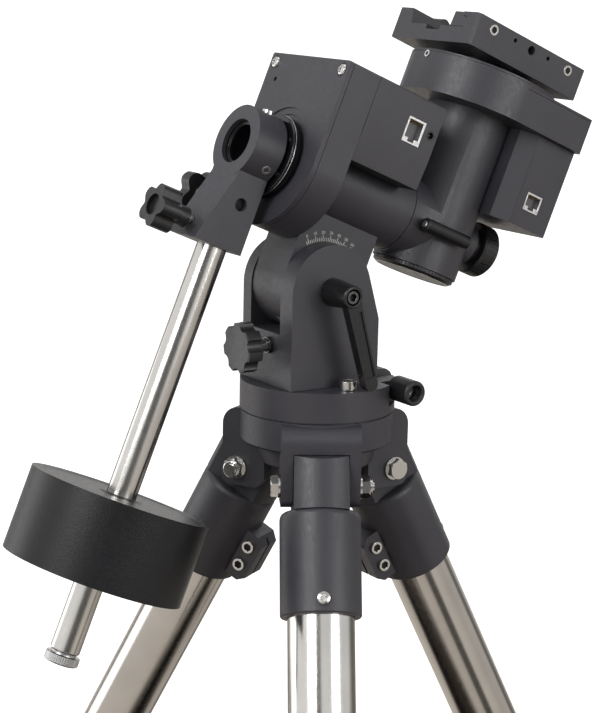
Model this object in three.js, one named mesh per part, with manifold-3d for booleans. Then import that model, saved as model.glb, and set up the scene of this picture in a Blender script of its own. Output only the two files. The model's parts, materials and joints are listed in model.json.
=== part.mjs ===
// A centre-balanced equatorial mount for a telescope on a three-legged stand.
//
// Everything is in millimetres with +Z up. Three frames are used:
//   stand     origin on the upright azimuth axis, at the top face of the azimuth ring
//   leg       origin on the leg's pivot, -Z down the leg, +X outwards, Y along the pivot bolt
//   polar     X along the right-ascension (polar) axis towards the declination head,
//             Z along the declination axis at rest, Y as in the stand frame
// The whole is moved at the end, so that the feet stand on z = 0 and the box is centred.

import * as THREE from "three";
import { mergeVertices } from "three/addons/utils/BufferGeometryUtils.js";
import Module from "manifold-3d";

const wasm = await Module();
wasm.setup();

const DEG = Math.PI / 180;

// ---------------------------------------------------------------- driving dimensions

const FLATNESS = 0.26; // how far a facet may lie inside the true round
const GAP = 0.3; // left between pieces that rest on each other
const LATITUDE = 22.75; // tilt of the polar axis

const RING = { radius: 52.8, thickness: 20 };
const HUB = { radius: 52, skirtEnd: -41, coreRadius: 39, bottom: -58, spigotRadius: 14.7 };
const PEG = { inner: 31, outer: 54, halfWidth: 13, top: 3.8 };

const LEG = {
  count: 3,
  pivotRadius: 47.5,
  pivotDepth: 64,
  spread: 27.8,
  length: 790, // pivot to floor, along the leg
  clevisHalf: 26.25,
  tongueHalf: 18.2,
  shoulder: 18.6,
};
const SOCKET = { radius: 27, bore: 22.5, end: 88 };
const UPPER_TUBE = { radius: 22.2, bore: 20.7, start: 27, end: 430 };
const LUG_SCREWS = [52.5, 68];
const COLLAR = { radius: 27, start: 400, end: 448, knobAt: 424 };
const LOWER_TUBE = { radius: 19.05, bore: 17.3, start: 300, end: 755 };

const PIVOT = { x: -12, z: 64.3 }; // altitude axis, parallel to Y
const POLAR = { along: 2.8, up: 68.3 }; // polar frame's origin, seen from the altitude axis

const FORK = {
  north: -42.8,
  south: 26.2,
  shoulderZ: 43.5,
  archRadius: 30.8,
  near: -32.5,
  baseFar: 32,
  far: 28,
  gapHalf: 18.1,
  baseTop: 36,
};
const DRUM_RADIUS = 30;
const ALT_WORM = { y: -5, z: 27, radius: 6.6 };

const DRIVE = { teeth: 96, pitch: 3.1, wormRadius: 5.2 };
const HOUSING = { half: 45.4, top: 69.9, front: -55.5, back: -33.4, wall: 3.5, cylinder: 28, end: 40.8 };
const PLATE = { front: -59.5, back: -55.9 };
const RA_SHAFT = { radius: 18.3, bore: 13, flange: 27.5, nose: 16.7, end: 44.2 };
const COVER = { front: -33.1, back: 24.6, creaseZ: 33.5, bottom: 13.6, taper: 1.5 };

const BRACKET = { ring: 24.2, front: -91.4, back: -69, half: 16, foot: -68.5, toe: -106 };
const CW_SHAFT = { x: -81.4, radius: 10, top: -28, end: -346.7 };
const WEIGHT = { z: -266.9, radius: 60.6, thickness: 55.6 };

const DEC = { x: 77.9, radius: 30.1, bottom: -29, shaft: 15, bore: 9 };
const TRAY = {
  radius: 52.2,
  south: 141.3,
  bottom: 82.6,
  top: 105.4,
  wall: 3.3,
  floor: 86,
  lid: 107.2, // the cover's top over the motor
  crown: 110.3, // and its raised round part
};
const MOTOR_BOX = {
  north: 95.5,
  south: 140.5,
  half: 46,
  bottom: 20.5,
  top: 82.3,
  chamferX: 10.7,
  chamferY: 9.3,
};
const SADDLE = {
  north: 25.2,
  south: 127.6,
  near: -41.75,
  far: 45.2,
  bottom: 115.85,
  top: 137.4,
  floor: 126.8,
};

// ---------------------------------------------------------------- finishes

const FINISH = {
  paint: { color: 0x4a4a4f, roughness: 0.5, metalness: 0.35 },
  anodised: { color: 0x1c1c1e, roughness: 0.35, metalness: 0.7 },
  plastic: { color: 0x1b1b1d, roughness: 0.55, metalness: 0.0 },
  iron: { color: 0x222226, roughness: 0.6, metalness: 0.2 },
  steel: { color: 0xc9c6c0, roughness: 0.18, metalness: 1.0 },
  gear: { color: 0xb58a3c, roughness: 0.35, metalness: 1.0 },
  board: { color: 0x1d5a38, roughness: 0.5, metalness: 0.0 },
};

// ---------------------------------------------------------------- solids

// A closed geometry as a manifold-3d solid: shared corners merged, slivers on the axis dropped.
function toSolid(geometry) {
  const bare = new THREE.BufferGeometry();
  bare.setAttribute("position", geometry.getAttribute("position").clone());
  if (geometry.index) bare.setIndex(geometry.index.clone());
  const merged = mergeVertices(bare, 1e-4);
  const at = merged.getAttribute("position");
  const corners = merged.index.array;
  const kept = [];
  const a = new THREE.Vector3();
  const b = new THREE.Vector3();
  const c = new THREE.Vector3();
  let volume = 0;
  for (let i = 0; i < corners.length; i += 3) {
    const [p, q, r] = [corners[i], corners[i + 1], corners[i + 2]];
    if (p === q || q === r || r === p) continue;
    kept.push(p, q, r);
    a.fromBufferAttribute(at, p);
    b.fromBufferAttribute(at, q);
    c.fromBufferAttribute(at, r);
    volume += a.dot(b.cross(c));
  }
  const triVerts = new Uint32Array(volume < 0 ? kept.reverse() : kept);
  return new wasm.Manifold(new wasm.Mesh({ numProp: 3, vertProperties: at.array, triVerts }));
}

function toGeometry(solid) {
  const mesh = solid.getMesh();
  const geometry = new THREE.BufferGeometry();
  geometry.setAttribute("position", new THREE.BufferAttribute(mesh.vertProperties, 3));
  geometry.setIndex(new THREE.BufferAttribute(mesh.triVerts, 1));
  return geometry;
}

function join(first, ...rest) {
  return toGeometry(rest.reduce((sum, piece) => sum.add(toSolid(piece)), toSolid(first)));
}

function cut(first, ...tools) {
  return toGeometry(tools.reduce((left, tool) => left.subtract(toSolid(tool)), toSolid(first)));
}

function common(first, second) {
  return toGeometry(toSolid(first).intersect(toSolid(second)));
}

// ---------------------------------------------------------------- basic shapes

const basis = (u, v, w) =>
  new THREE.Matrix4().makeBasis(new THREE.Vector3(...u), new THREE.Vector3(...v), new THREE.Vector3(...w));
const TURN_TO = {
  x: basis([0, 1, 0], [1, 0, 0], [0, 0, -1]),
  y: new THREE.Matrix4(),
  z: basis([1, 0, 0], [0, 0, 1], [0, -1, 0]),
};
const EXTRUDE_TO = {
  x: basis([0, 1, 0], [0, 0, 1], [1, 0, 0]),
  y: basis([1, 0, 0], [0, 0, 1], [0, -1, 0]),
  z: new THREE.Matrix4(),
};

// How many sides a round of this radius gets, for flats within FLATNESS of the true circle.
function sides(radius) {
  return Math.max(8, 2 * Math.round((Math.PI / 2) * Math.sqrt(radius / (2 * FLATNESS))));
}

// [radius, height] pairs turned about an axis through the origin, in either sense.
function turned(axis, profile) {
  let area = 0;
  profile.forEach(([r, h], k) => {
    const [nextR, nextH] = profile[(k + 1) % profile.length];
    area += r * nextH - nextR * h;
  });
  const ordered = area < 0 ? [...profile].reverse() : profile;
  const points = ordered.map(([r, h]) => new THREE.Vector2(r, h));
  const widest = Math.max(...profile.map(([r]) => r));
  return new THREE.LatheGeometry(points, sides(widest)).applyMatrix4(TURN_TO[axis]);
}

function rod(axis, radius, low, high) {
  return turned(axis, [[0, low], [radius, low], [radius, high], [0, high]]);
}

function pipe(axis, outer, inner, low, high) {
  return turned(axis, [[inner, low], [outer, low], [outer, high], [inner, high], [inner, low]]);
}

function shapeOf(points) {
  return new THREE.Shape(points.map(([u, v]) => new THREE.Vector2(u, v)));
}

// A shape extruded along an axis: (y, z) along x, (x, z) along y, (x, y) along z.
function slab(axis, shape, low, high, bevel = 0, curveSegments = 12) {
  const geometry = new THREE.ExtrudeGeometry(shape, {
    depth: high - low - 2 * bevel,
    bevelEnabled: bevel > 0,
    bevelThickness: bevel,
    bevelSize: bevel,
    bevelOffset: -bevel,
    bevelSegments: 1,
    curveSegments,
  });
  geometry.translate(0, 0, bevel);
  geometry.applyMatrix4(EXTRUDE_TO[axis]);
  const start = axis === "y" ? high : low;
  return geometry.translate(axis === "x" ? start : 0, axis === "y" ? start : 0, axis === "z" ? start : 0);
}

function block([x0, x1], [y0, y1], [z0, z1]) {
  const box = new THREE.BoxGeometry(x1 - x0, y1 - y0, z1 - z0);
  return box.translate((x0 + x1) / 2, (y0 + y1) / 2, (z0 + z1) / 2);
}

function hexagon(acrossFlats, phase = 0) {
  const radius = acrossFlats / Math.sqrt(3);
  return shapeOf([0, 1, 2, 3, 4, 5].map((k) => {
    const turn = (phase + 60 * k) * DEG;
    return [radius * Math.cos(turn), radius * Math.sin(turn)];
  }));
}

// The outline of a hand knob with round lobes and hollows between them.
function lobedShape(radius, lobes, hollow) {
  const STEPS = 5;
  const points = [];
  for (let k = 0; k < lobes * STEPS; k++) {
    const turn = (2 * Math.PI * k) / (lobes * STEPS);
    const dip = Math.pow(0.5 - 0.5 * Math.cos(lobes * turn), 1.6);
    points.push([(radius - hollow * dip) * Math.cos(turn), (radius - hollow * dip) * Math.sin(turn)]);
  }
  return shapeOf(points);
}

// A thin-toothed wheel: V notches all round a disc, with a bore.
function toothedWheel(axis, radius, bore, low, high) {
  const NOTCH = 0.9;
  const points = [];
  for (let k = 0; k < 2 * DRIVE.teeth; k++) {
    const turn = (Math.PI * k) / DRIVE.teeth;
    const reach = k % 2 ? radius - NOTCH : radius;
    points.push([reach * Math.cos(turn), reach * Math.sin(turn)]);
  }
  const shape = shapeOf(points);
  shape.holes.push(new THREE.Path().absarc(0, 0, bore, 0, 2 * Math.PI, true));
  return slab(axis, shape, low, high);
}

// A worm as a ridged spindle with a plain shaft at both ends.
function wormProfile(radius, shaft, low, high, shaftLow, shaftHigh) {
  const DEPTH = 1.1;
  const profile = [[0, shaftLow], [shaft, shaftLow], [shaft, low], [radius - DEPTH, low]];
  const ridges = Math.floor((high - low) / DRIVE.pitch);
  for (let k = 0; k < ridges; k++) {
    profile.push([radius, low + (k + 0.5) * DRIVE.pitch]);
    profile.push([radius - DEPTH, low + (k + 1) * DRIVE.pitch]);
  }
  const end = low + ridges * DRIVE.pitch;
  return profile.concat([[shaft, end + 0.01], [shaft, shaftHigh], [0, shaftHigh]]);
}

// A named mesh of one finish, added to a group.
function piece(group, name, geometry, finish) {
  const material = new THREE.MeshStandardMaterial({ ...FINISH[finish], flatShading: true });
  const mesh = new THREE.Mesh(geometry, material);
  mesh.name = name;
  group.add(mesh);
}

// ---------------------------------------------------------------- stand: hub and legs

function clevis() {
  const FACE = 58.5;
  const TOP = -22;
  const ROUND = 12;
  const FOOT = -76.8;
  const CORNER = 6;
  const shape = new THREE.Shape();
  shape.moveTo(15, TOP);
  shape.lineTo(FACE - ROUND, TOP);
  shape.absarc(FACE - ROUND, TOP - ROUND, ROUND, 90 * DEG, 0, true);
  shape.absarc(FACE - CORNER, FOOT + CORNER, CORNER, 0, -90 * DEG, true);
  shape.lineTo(32, FOOT);
  shape.lineTo(26, FOOT + CORNER);
  shape.lineTo(26, HUB.bottom);
  shape.lineTo(15, HUB.bottom);
  return slab("y", shape, -LEG.clevisHalf, LEG.clevisHalf, 0.8, 3);
}

function clevisSlot() {
  const CEILING = -39.6;
  const outline = [[19.3, -130], [19.3, -56], [26, -46], [33, CEILING], [90, CEILING], [90, -130]];
  return slab("y", shapeOf(outline), -LEG.tongueHalf - 0.4, LEG.tongueHalf + 0.4);
}

function tripodHub() {
  const top = -RING.thickness - GAP;
  let body = turned("z", [
    [0, HUB.bottom], [HUB.coreRadius - 2, HUB.bottom], [HUB.coreRadius, HUB.bottom + 2],
    [HUB.coreRadius + 2, HUB.skirtEnd - 5], [HUB.radius - 1.5, HUB.skirtEnd - 1.5],
    [HUB.radius, HUB.skirtEnd], [HUB.radius, top - 1], [HUB.radius - 1, top], [0, top],
  ]);
  const pegShape = new THREE.Shape();
  pegShape.moveTo(PEG.inner, top - 1);
  pegShape.lineTo(PEG.inner, PEG.top);
  pegShape.lineTo(PEG.outer - 11, PEG.top);
  pegShape.quadraticCurveTo(PEG.outer - 1, PEG.top - 1, PEG.outer, PEG.top - 10);
  pegShape.lineTo(PEG.outer, top - 8);
  pegShape.lineTo(PEG.outer - 6, top - 12);
  pegShape.lineTo(PEG.inner, top - 12);
  const peg = slab("y", pegShape, -PEG.halfWidth, PEG.halfWidth, 0.8, 4);
  body = join(body, rod("z", HUB.spigotRadius, top - 1, -8), peg);
  for (let k = 0; k < LEG.count; k++) body = join(body, clevis().rotateZ((360 / LEG.count) * k * DEG));
  for (let k = 0; k < LEG.count; k++) {
    const turn = (360 / LEG.count) * k * DEG;
    const bore = rod("y", 4.3, -30, 30).translate(LEG.pivotRadius, 0, -LEG.pivotDepth);
    body = cut(body, clevisSlot().rotateZ(turn), bore.rotateZ(turn));
  }
  return body;
}

function legSocket() {
  const { radius, bore, end } = SOCKET;
  const s = Math.sin(LEG.spread * DEG);
  const c = Math.cos(LEG.spread * DEG);
  const HEAD = 23.8; // round top of the tongue, about the pivot
  const tongue = new THREE.Shape();
  const out = radius + 0.5;
  tongue.moveTo(out, -LEG.shoulder - 1);
  tongue.lineTo(out, HEAD * c - ((out - HEAD * s) * s) / c);
  tongue.lineTo(HEAD * s, HEAD * c);
  tongue.absarc(0, 0, HEAD, Math.atan2(c, s), Math.PI, false);
  tongue.lineTo(-out, -8);
  tongue.lineTo(-out, -LEG.shoulder - 1);
  const ear = common(
    rod("z", radius, -LEG.shoulder - 0.9, HEAD + 3),
    slab("y", tongue, -LEG.tongueHalf, LEG.tongueHalf, 1.2, 3),
  );
  const barrel = turned("z", [
    [0, -bore - 3.5], [bore, -bore - 3.5], [bore, -end], [radius - 0.8, -end], [radius, -end + 1],
    [radius, -LEG.shoulder - 4.6], [26.4, -LEG.shoulder - 2], [24.8, -LEG.shoulder - 0.6],
    [22, -LEG.shoulder], [0, -LEG.shoulder],
  ]);
  const lugOutline = [[-20, -42.5], [-34, -42.5], [-39.5, -48], [-39.5, -75], [-34.5, -80], [-20, -80]];
  const lug = slab("y", shapeOf(lugOutline), -11.5, 11.5, 0.8);
  const body = join(ear, barrel, lug);
  const holes = LUG_SCREWS.map((depth) => rod("y", 2.75, -14, 14).translate(-31, 0, -depth));
  return cut(
    body,
    rod("z", bore, -end - 1, -bore - 3.5),
    block([-45, -18], [-1.2, 1.2], [-end - 4, -44.5]),
    rod("y", 4.3, -30, 30),
    rod("x", 2.1, 20, 30).translate(0, 0, -79),
    ...holes,
  );
}

function pivotBolt() {
  const face = LEG.clevisHalf + GAP;
  return join(
    rod("y", 4, -face - 2, face + 9.5),
    rod("y", 8, -face - 1.3, -face),
    rod("y", 8, face, face + 1.3),
    slab("y", hexagon(13), -face - 6.4, -face - 1.2, 0.5),
    slab("y", hexagon(13, 12), face + 1.2, face + 7, 0.5),
    rod("y", 5.8, face + 6.9, face + 8.4),
  );
}

// The polished upper leg tube with its clamp collar, which guides the lower tube.
function upperTube() {
  const { radius, bore, start, end } = UPPER_TUBE;
  const guide = LOWER_TUBE.radius + 0.35;
  const body = turned("z", [
    [bore, -start], [radius, -start], [radius, -COLLAR.start + 2], [COLLAR.radius - 2.5, -COLLAR.start],
    [COLLAR.radius, -COLLAR.start - 2.5], [COLLAR.radius, -COLLAR.end + 2],
    [COLLAR.radius - 1.5, -COLLAR.end], [guide, -COLLAR.end], [guide, -end - 2], [bore, -end], [bore, -start],
  ]);
  const boss = rod("x", 9, 24, 34).translate(0, 0, -COLLAR.knobAt);
  const clear = rod("z", bore, -end, -start);
  return cut(join(body, boss), clear, rod("x", 3.3, 17, 36).translate(0, 0, -COLLAR.knobAt));
}

function legKnob() {
  const head = slab("x", lobedShape(14.5, 5, 3.6), 34.5, 46, 1);
  return join(head, rod("x", 7.5, 34.4, 36), rod("x", 3, LOWER_TUBE.radius + 0.4, 35))
    .translate(0, 0, -COLLAR.knobAt);
}

// The sliding lower tube with its rubber-tipped foot, cut level with the floor.
function lowerTube() {
  const { radius, bore, start, end } = LOWER_TUBE;
  const body = turned("z", [
    [bore, -start], [radius, -start], [radius, -end], [21.5, -end - 0.6], [22.5, -end - 2],
    [22.5, -end - 14], [18, -end - 20], [17, -LEG.length - 12], [0, -LEG.length - 12], [0, -end - 4],
    [bore, -end - 4], [bore, -start],
  ]);
  const floor = block([-80, 80], [-80, 80], [-60, 0]).rotateY(LEG.spread * DEG);
  return cut(body, floor.translate(0, 0, -LEG.length));
}

const stand = new THREE.Group();
piece(stand, "tripod_hub", tripodHub(), "paint");
for (let k = 0; k < LEG.count; k++) {
  const turn = new THREE.Group();
  turn.rotation.z = (360 / LEG.count) * k * DEG;
  const leg = new THREE.Group();
  leg.position.set(LEG.pivotRadius, 0, -LEG.pivotDepth);
  leg.rotation.y = -LEG.spread * DEG;
  const name = `leg_${k + 1}`;
  piece(leg, `${name}_socket`, legSocket(), "paint");
  piece(leg, `${name}_pivot_bolt`, pivotBolt(), "steel");
  piece(leg, `${name}_upper_tube`, upperTube(), "steel");
  piece(leg, `${name}_lock_knob`, legKnob(), "plastic");
  piece(leg, `${name}_lower_tube`, lowerTube(), "steel");
  turn.add(leg);
  stand.add(turn);
}

// ---------------------------------------------------------------- azimuth: ring, screws and fork

const LOCK_SCREW = { x: -4.3, y: 42.3, head: 6, top: 6.2, thread: 4 };
const AZ_SCREW = { x: 38.5, z: -4, inner: 38.3, outer: 60, radius: 8.6, hollow: 5.2 };

function azimuthRing() {
  const { radius, thickness } = RING;
  let body = turned("z", [
    [0, -7.5], [HUB.spigotRadius + GAP, -7.5], [HUB.spigotRadius + GAP, -thickness],
    [radius - 0.6, -thickness], [radius, -thickness + 0.6], [radius, -1], [radius - 1, 0], [0, 0],
  ]);
  body = cut(body, block([27, 60], [-19.5, 19.5], [-thickness - 1, 1]));
  for (const side of [-1, 1]) {
    const y = [side * 33.4, side * 60].sort((a, b) => a - b);
    body = cut(
      body,
      block([28, 60], y, [-14.5, 1]),
      rod("y", 3.3, -36, 36).translate(AZ_SCREW.x, 0, AZ_SCREW.z),
      rod("z", LOCK_SCREW.thread + GAP, -thickness - 1, 1).translate(LOCK_SCREW.x, side * LOCK_SCREW.y, 0),
    );
  }
  return body;
}

// A hollow-ended knob on a round-nosed screw that bears on the stand's peg.
function azimuthKnob(side) {
  const { x, z, inner, outer, radius, hollow } = AZ_SCREW;
  const nose = PEG.halfWidth + 0.35;
  const profile = [
    [0, nose], [1.5, nose], [3, nose + 1.2], [3, inner], [radius - 0.8, inner], [radius, inner + 0.8],
    [radius, outer - 1], [radius - 1, outer], [hollow, outer], [hollow, outer - 9], [0, outer - 9],
  ].map(([r, y]) => [r, side * y]);
  return turned("y", profile).translate(x, 0, z);
}

function capScrew() {
  const { head, top, thread } = LOCK_SCREW;
  const body = join(rod("z", head, GAP, top), rod("z", thread, -RING.thickness, 1));
  return cut(body, slab("z", hexagon(5.6), top - 3.4, top + 1));
}

function forkOutline(top) {
  const { north, south, shoulderZ, archRadius } = FORK;
  const shape = new THREE.Shape();
  shape.moveTo(south, GAP);
  if (!top) {
    shape.lineTo(south, FORK.baseTop);
    shape.lineTo(north, FORK.baseTop);
  } else {
    // the straight southern flank leaves the arch at a tangent
    const toShoulder = Math.atan2(shoulderZ - PIVOT.z, south - PIVOT.x);
    const distance = Math.hypot(shoulderZ - PIVOT.z, south - PIVOT.x);
    const tangent = toShoulder + Math.acos(archRadius / distance);
    shape.lineTo(south, shoulderZ);
    shape.absarc(PIVOT.x, PIVOT.z, archRadius, tangent, Math.PI, false);
  }
  shape.lineTo(north, GAP);
  return shape;
}

function fork() {
  const { near, far, baseFar, gapHalf } = FORK;
  const body = join(
    slab("y", forkOutline(false), near, baseFar, 0.8),
    slab("y", forkOutline(true), near, -gapHalf, 0.8, 6),
    slab("y", forkOutline(true), gapHalf, far, 0.8, 6),
  );
  const { y, z, radius } = ALT_WORM;
  const room = radius + 1.4;
  return cut(
    body,
    rod("y", DRUM_RADIUS + 1, -gapHalf, gapHalf).translate(PIVOT.x, 0, PIVOT.z),
    rod("y", 5.4, near - 1, far + 1).translate(PIVOT.x, 0, PIVOT.z),
    block([PIVOT.x - 16, PIVOT.x + 16], [y - room, y + room], [z - room, FORK.baseTop + 1]),
    rod("x", 4.4, FORK.north - 1, PIVOT.x + 24).translate(0, y, z),
  );
}

const ALT_KNOB = { face: -68, back: -57.5, neck: -53.5, radius: 16.6 };

function altitudeKnob() {
  const head = slab("x", lobedShape(ALT_KNOB.radius, 7, 2.6), ALT_KNOB.face, ALT_KNOB.back, 0.9);
  const neck = rod("x", 7.5, ALT_KNOB.back - 0.5, ALT_KNOB.neck);
  const socket = rod("x", 4.3, ALT_KNOB.face + 3, ALT_KNOB.neck + 1);
  return cut(join(head, neck), socket).translate(0, ALT_WORM.y, ALT_WORM.z);
}

function altitudeWorm() {
  const profile = wormProfile(
    ALT_WORM.radius, 4, PIVOT.x - 13, PIVOT.x + 13, ALT_KNOB.face + 3.3, PIVOT.x + 23.5,
  );
  return turned("x", profile).translate(0, ALT_WORM.y, ALT_WORM.z);
}

const LEVER = { inner: -32.9, outer: -57.5, armBack: -49.8, armFront: -57, length: 64.2, tilt: 15.9 };

function altitudeAxle() {
  const body = join(
    rod("y", 5, LEVER.outer + 1, FORK.far + 1),
    rod("y", 9, FORK.far + GAP, FORK.far + 5.5),
  );
  return cut(body, slab("y", hexagon(4.2), LEVER.outer, LEVER.outer + 4.5)).translate(PIVOT.x, 0, PIVOT.z);
}

function altitudeLever() {
  const { inner, outer, armBack, armFront, length, tilt } = LEVER;
  const boss = turned("y", [
    [0, inner], [9.3, inner], [9, inner - 8], [7.9, outer + 5], [7.6, outer + 0.8], [6.9, outer],
    [0, outer],
  ]);
  const HALF = 5.7;
  const TIP = 4.8;
  const outline = shapeOf([[-HALF, 2], [-TIP, -length], [TIP, -length], [HALF, 2]]);
  const arm = slab("y", outline, armFront, armBack, 1.1);
  arm.rotateY(-tilt * DEG);
  return cut(join(boss, arm), rod("y", 5.3, outer - 1, inner + 1)).translate(PIVOT.x, 0, PIVOT.z);
}

const azimuth = new THREE.Group();
piece(azimuth, "azimuth_ring", azimuthRing(), "paint");
piece(azimuth, "azimuth_knob_near", azimuthKnob(-1), "plastic");
piece(azimuth, "azimuth_knob_far", azimuthKnob(1), "plastic");
for (const [where, side] of [["near", -1], ["far", 1]]) {
  const screw = capScrew().translate(LOCK_SCREW.x, side * LOCK_SCREW.y, 0);
  piece(azimuth, `azimuth_lock_screw_${where}`, screw, "steel");
}
piece(azimuth, "fork", fork(), "paint");
piece(azimuth, "altitude_axle", altitudeAxle(), "steel");
piece(azimuth, "altitude_lock_lever", altitudeLever(), "plastic");
piece(azimuth, "altitude_knob", altitudeKnob(), "plastic");
piece(azimuth, "altitude_worm", altitudeWorm(), "steel");
stand.add(azimuth);

// ---------------------------------------------------------------- polar frame

const polar = new THREE.Group();
const tilt = new THREE.Group();
tilt.position.set(PIVOT.x, 0, PIVOT.z);
tilt.rotation.y = LATITUDE * DEG;
polar.position.set(POLAR.along, 0, POLAR.up);
tilt.add(polar);
azimuth.add(tilt);

// ---------------------------------------------------------------- altitude body: block and housing

function altitudeBlock() {
  const shape = new THREE.Shape();
  shape.moveTo(DRUM_RADIUS, 50);
  shape.lineTo(-DRUM_RADIUS, 50);
  shape.absarc(0, 0, DRUM_RADIUS, Math.PI, 2 * Math.PI, false);
  const body = slab("y", shape, -FORK.gapHalf + GAP, FORK.gapHalf - GAP, 0.8, 9)
    .translate(-POLAR.along, 0, -POLAR.up);
  const TOOTH_STEP = 360 / 94;
  const MID_TRAVEL = LATITUDE - 12;
  const outline = [[-0.8, -DRUM_RADIUS - 0.3], [0.8, -DRUM_RADIUS - 0.3], [0, -DRUM_RADIUS + 1.1]];
  const notches = [];
  for (let k = -12; k <= 12; k++) {
    const notch = slab("y", shapeOf(outline), ALT_WORM.y - 6, ALT_WORM.y + 6);
    notch.rotateY((k * TOOTH_STEP + MID_TRAVEL) * DEG);
    notches.push(notch.translate(-POLAR.along, 0, -POLAR.up));
  }
  return cut(
    body,
    rod("x", HOUSING.cylinder + GAP, -60, 60),
    rod("y", 5.3, -30, 30).translate(-POLAR.along, 0, -POLAR.up),
    ...notches,
  );
}

// The housing's D outline in (y, z): square shoulders above, round below.
function dShape(half, top, corner) {
  const shape = new THREE.Shape();
  shape.moveTo(half, 0);
  shape.lineTo(half, top - corner);
  shape.lineTo(half - corner, top);
  shape.lineTo(-half + corner, top);
  shape.lineTo(-half, top - corner);
  shape.lineTo(-half, 0);
  shape.absarc(0, 0, half, Math.PI, 2 * Math.PI, false);
  return shape;
}

const BEARING = {
  outer: 24.5,
  raFront: [-37, -29.3],
  raRear: [32.8, 40.5],
  decOuter: 21.7,
  dec: [78.3, 85.7],
};

function raHousing() {
  const { half, top, front, back, wall, cylinder, end } = HOUSING;
  const shell = join(
    slab("x", dShape(half, top, 1.2), front, back, 0.5, 9),
    rod("x", cylinder, back - 1, end),
  );
  const seat = BEARING.outer + GAP;
  return cut(
    shell,
    slab("x", dShape(half - wall, top - wall, 1), front - 1, back - 4.1, 0, 9),
    rod("x", seat, back - 5, BEARING.raFront[1] + GAP),
    rod("x", seat, BEARING.raRear[0] - GAP, end + 1),
    rod("x", RA_SHAFT.radius + 0.6, back - 6, end + 1),
    rod("x", 6, back - 5, back + 1).translate(0, 20, 50),
  );
}

function frontPlate() {
  const RECESS = 35;
  return cut(
    slab("x", dShape(HOUSING.half, HOUSING.top, 1.2), PLATE.front, PLATE.back, 0.5, 9),
    rod("x", RECESS, PLATE.front - 1, PLATE.front + 1),
    rod("x", RA_SHAFT.radius + 0.7, PLATE.front - 1, PLATE.back + 1),
  );
}

function coverShape(inset) {
  const half = HOUSING.half - inset;
  const low = half - COVER.taper;
  const { creaseZ } = COVER;
  const bottom = COVER.bottom + inset;
  const top = HOUSING.top - inset;
  return shapeOf([
    [half, creaseZ], [half, top - 1], [half - 1, top], [-half + 1, top], [-half, top - 1], [-half, creaseZ],
    [-low, bottom], [low, bottom],
  ]);
}

const MOUTH_HALF = 4.8; // of either cable jack
const PORT = { north: -2, south: 12.9, bottom: 38.7, top: 55.6 };

function electronicsCover() {
  const wall = 3;
  return cut(
    slab("x", coverShape(0), COVER.front, COVER.back, 0.5),
    slab("x", coverShape(wall), COVER.front + wall, COVER.back - wall),
    rod("x", HOUSING.cylinder + GAP, COVER.front - 1, COVER.back + 1),
    block([PORT.north - GAP, PORT.south + GAP], [-HOUSING.half - 1, -HOUSING.half + wall + 1],
      [PORT.bottom - GAP, PORT.top + GAP]),
  );
}

// A circuit board with its cable jack, a connector and a few tall parts, soldered into one piece.
function controlBoard() {
  const board = block([-29.5, 21], [-40, 40], [36.9, 38.5]);
  const jack = block([PORT.north, PORT.south], [-HOUSING.half + 0.2, -28], [38.4, PORT.top]);
  const chips = block([-20, 6], [-14, 12], [38.4, 40.6]);
  const caps = [[-20, 27], [-8, 27], [10, 24]].map(([x, y]) => rod("z", 4, 38.4, 50).translate(x, y, 0));
  const middle = (PORT.north + PORT.south) / 2;
  const mouth = block(
    [middle - MOUTH_HALF, middle + MOUTH_HALF],
    [-HOUSING.half - 1, -33],
    [PORT.bottom + 2.2, PORT.top - 2.4],
  );
  return cut(join(board, jack, chips, ...caps), mouth);
}

// ---------------------------------------------------------------- drives

const RA_WHEEL = { radius: 38.5, low: -51.5, high: -43 };
const RA_WORM = { x: -47.2, z: RA_WHEEL.radius + 0.4 + DRIVE.wormRadius };
const DEC_WHEEL = { radius: 45, low: 89.5, high: 98.5 };
const DEC_WORM = { x: DEC.x + DEC_WHEEL.radius + 0.4 + DRIVE.wormRadius, z: 94 };

function driveWorm() {
  return turned("y", wormProfile(DRIVE.wormRadius, 2, -11, 11, -17, 16.5));
}

function driveMotor(radius, end) {
  return join(rod("y", radius, 19, end), rod("y", 4, 17, 19.5));
}

piece(polar, "altitude_block", altitudeBlock(), "paint");
piece(polar, "ra_housing", raHousing(), "paint");
piece(polar, "ra_front_plate", frontPlate(), "paint");
piece(polar, "electronics_cover", electronicsCover(), "paint");
piece(polar, "control_board", controlBoard(), "board");
piece(polar, "ra_motor", driveMotor(8.1, 41.3).translate(RA_WORM.x, 0, RA_WORM.z), "anodised");
piece(polar, "ra_worm", driveWorm().translate(RA_WORM.x, 0, RA_WORM.z), "steel");
const bearing = (axis, radius, outer, [low, high]) => pipe(axis, outer, radius + GAP, low, high);
piece(polar, "ra_bearing_front", bearing("x", RA_SHAFT.radius, BEARING.outer, BEARING.raFront), "steel");
piece(polar, "ra_bearing_rear", bearing("x", RA_SHAFT.radius, BEARING.outer, BEARING.raRear), "steel");

// ---------------------------------------------------------------- right-ascension body

function raShaft() {
  const { radius, bore, flange, nose, end } = RA_SHAFT;
  return turned("x", [
    [bore, -88], [nose, -88], [nose, -66], [flange - 0.6, -66], [flange, -65.4], [flange, -59],
    [radius, -59], [radius, end], [bore, end], [bore, -88],
  ]);
}

const BRACKET_KNOB = { front: -58, side: -38.2 };

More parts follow.
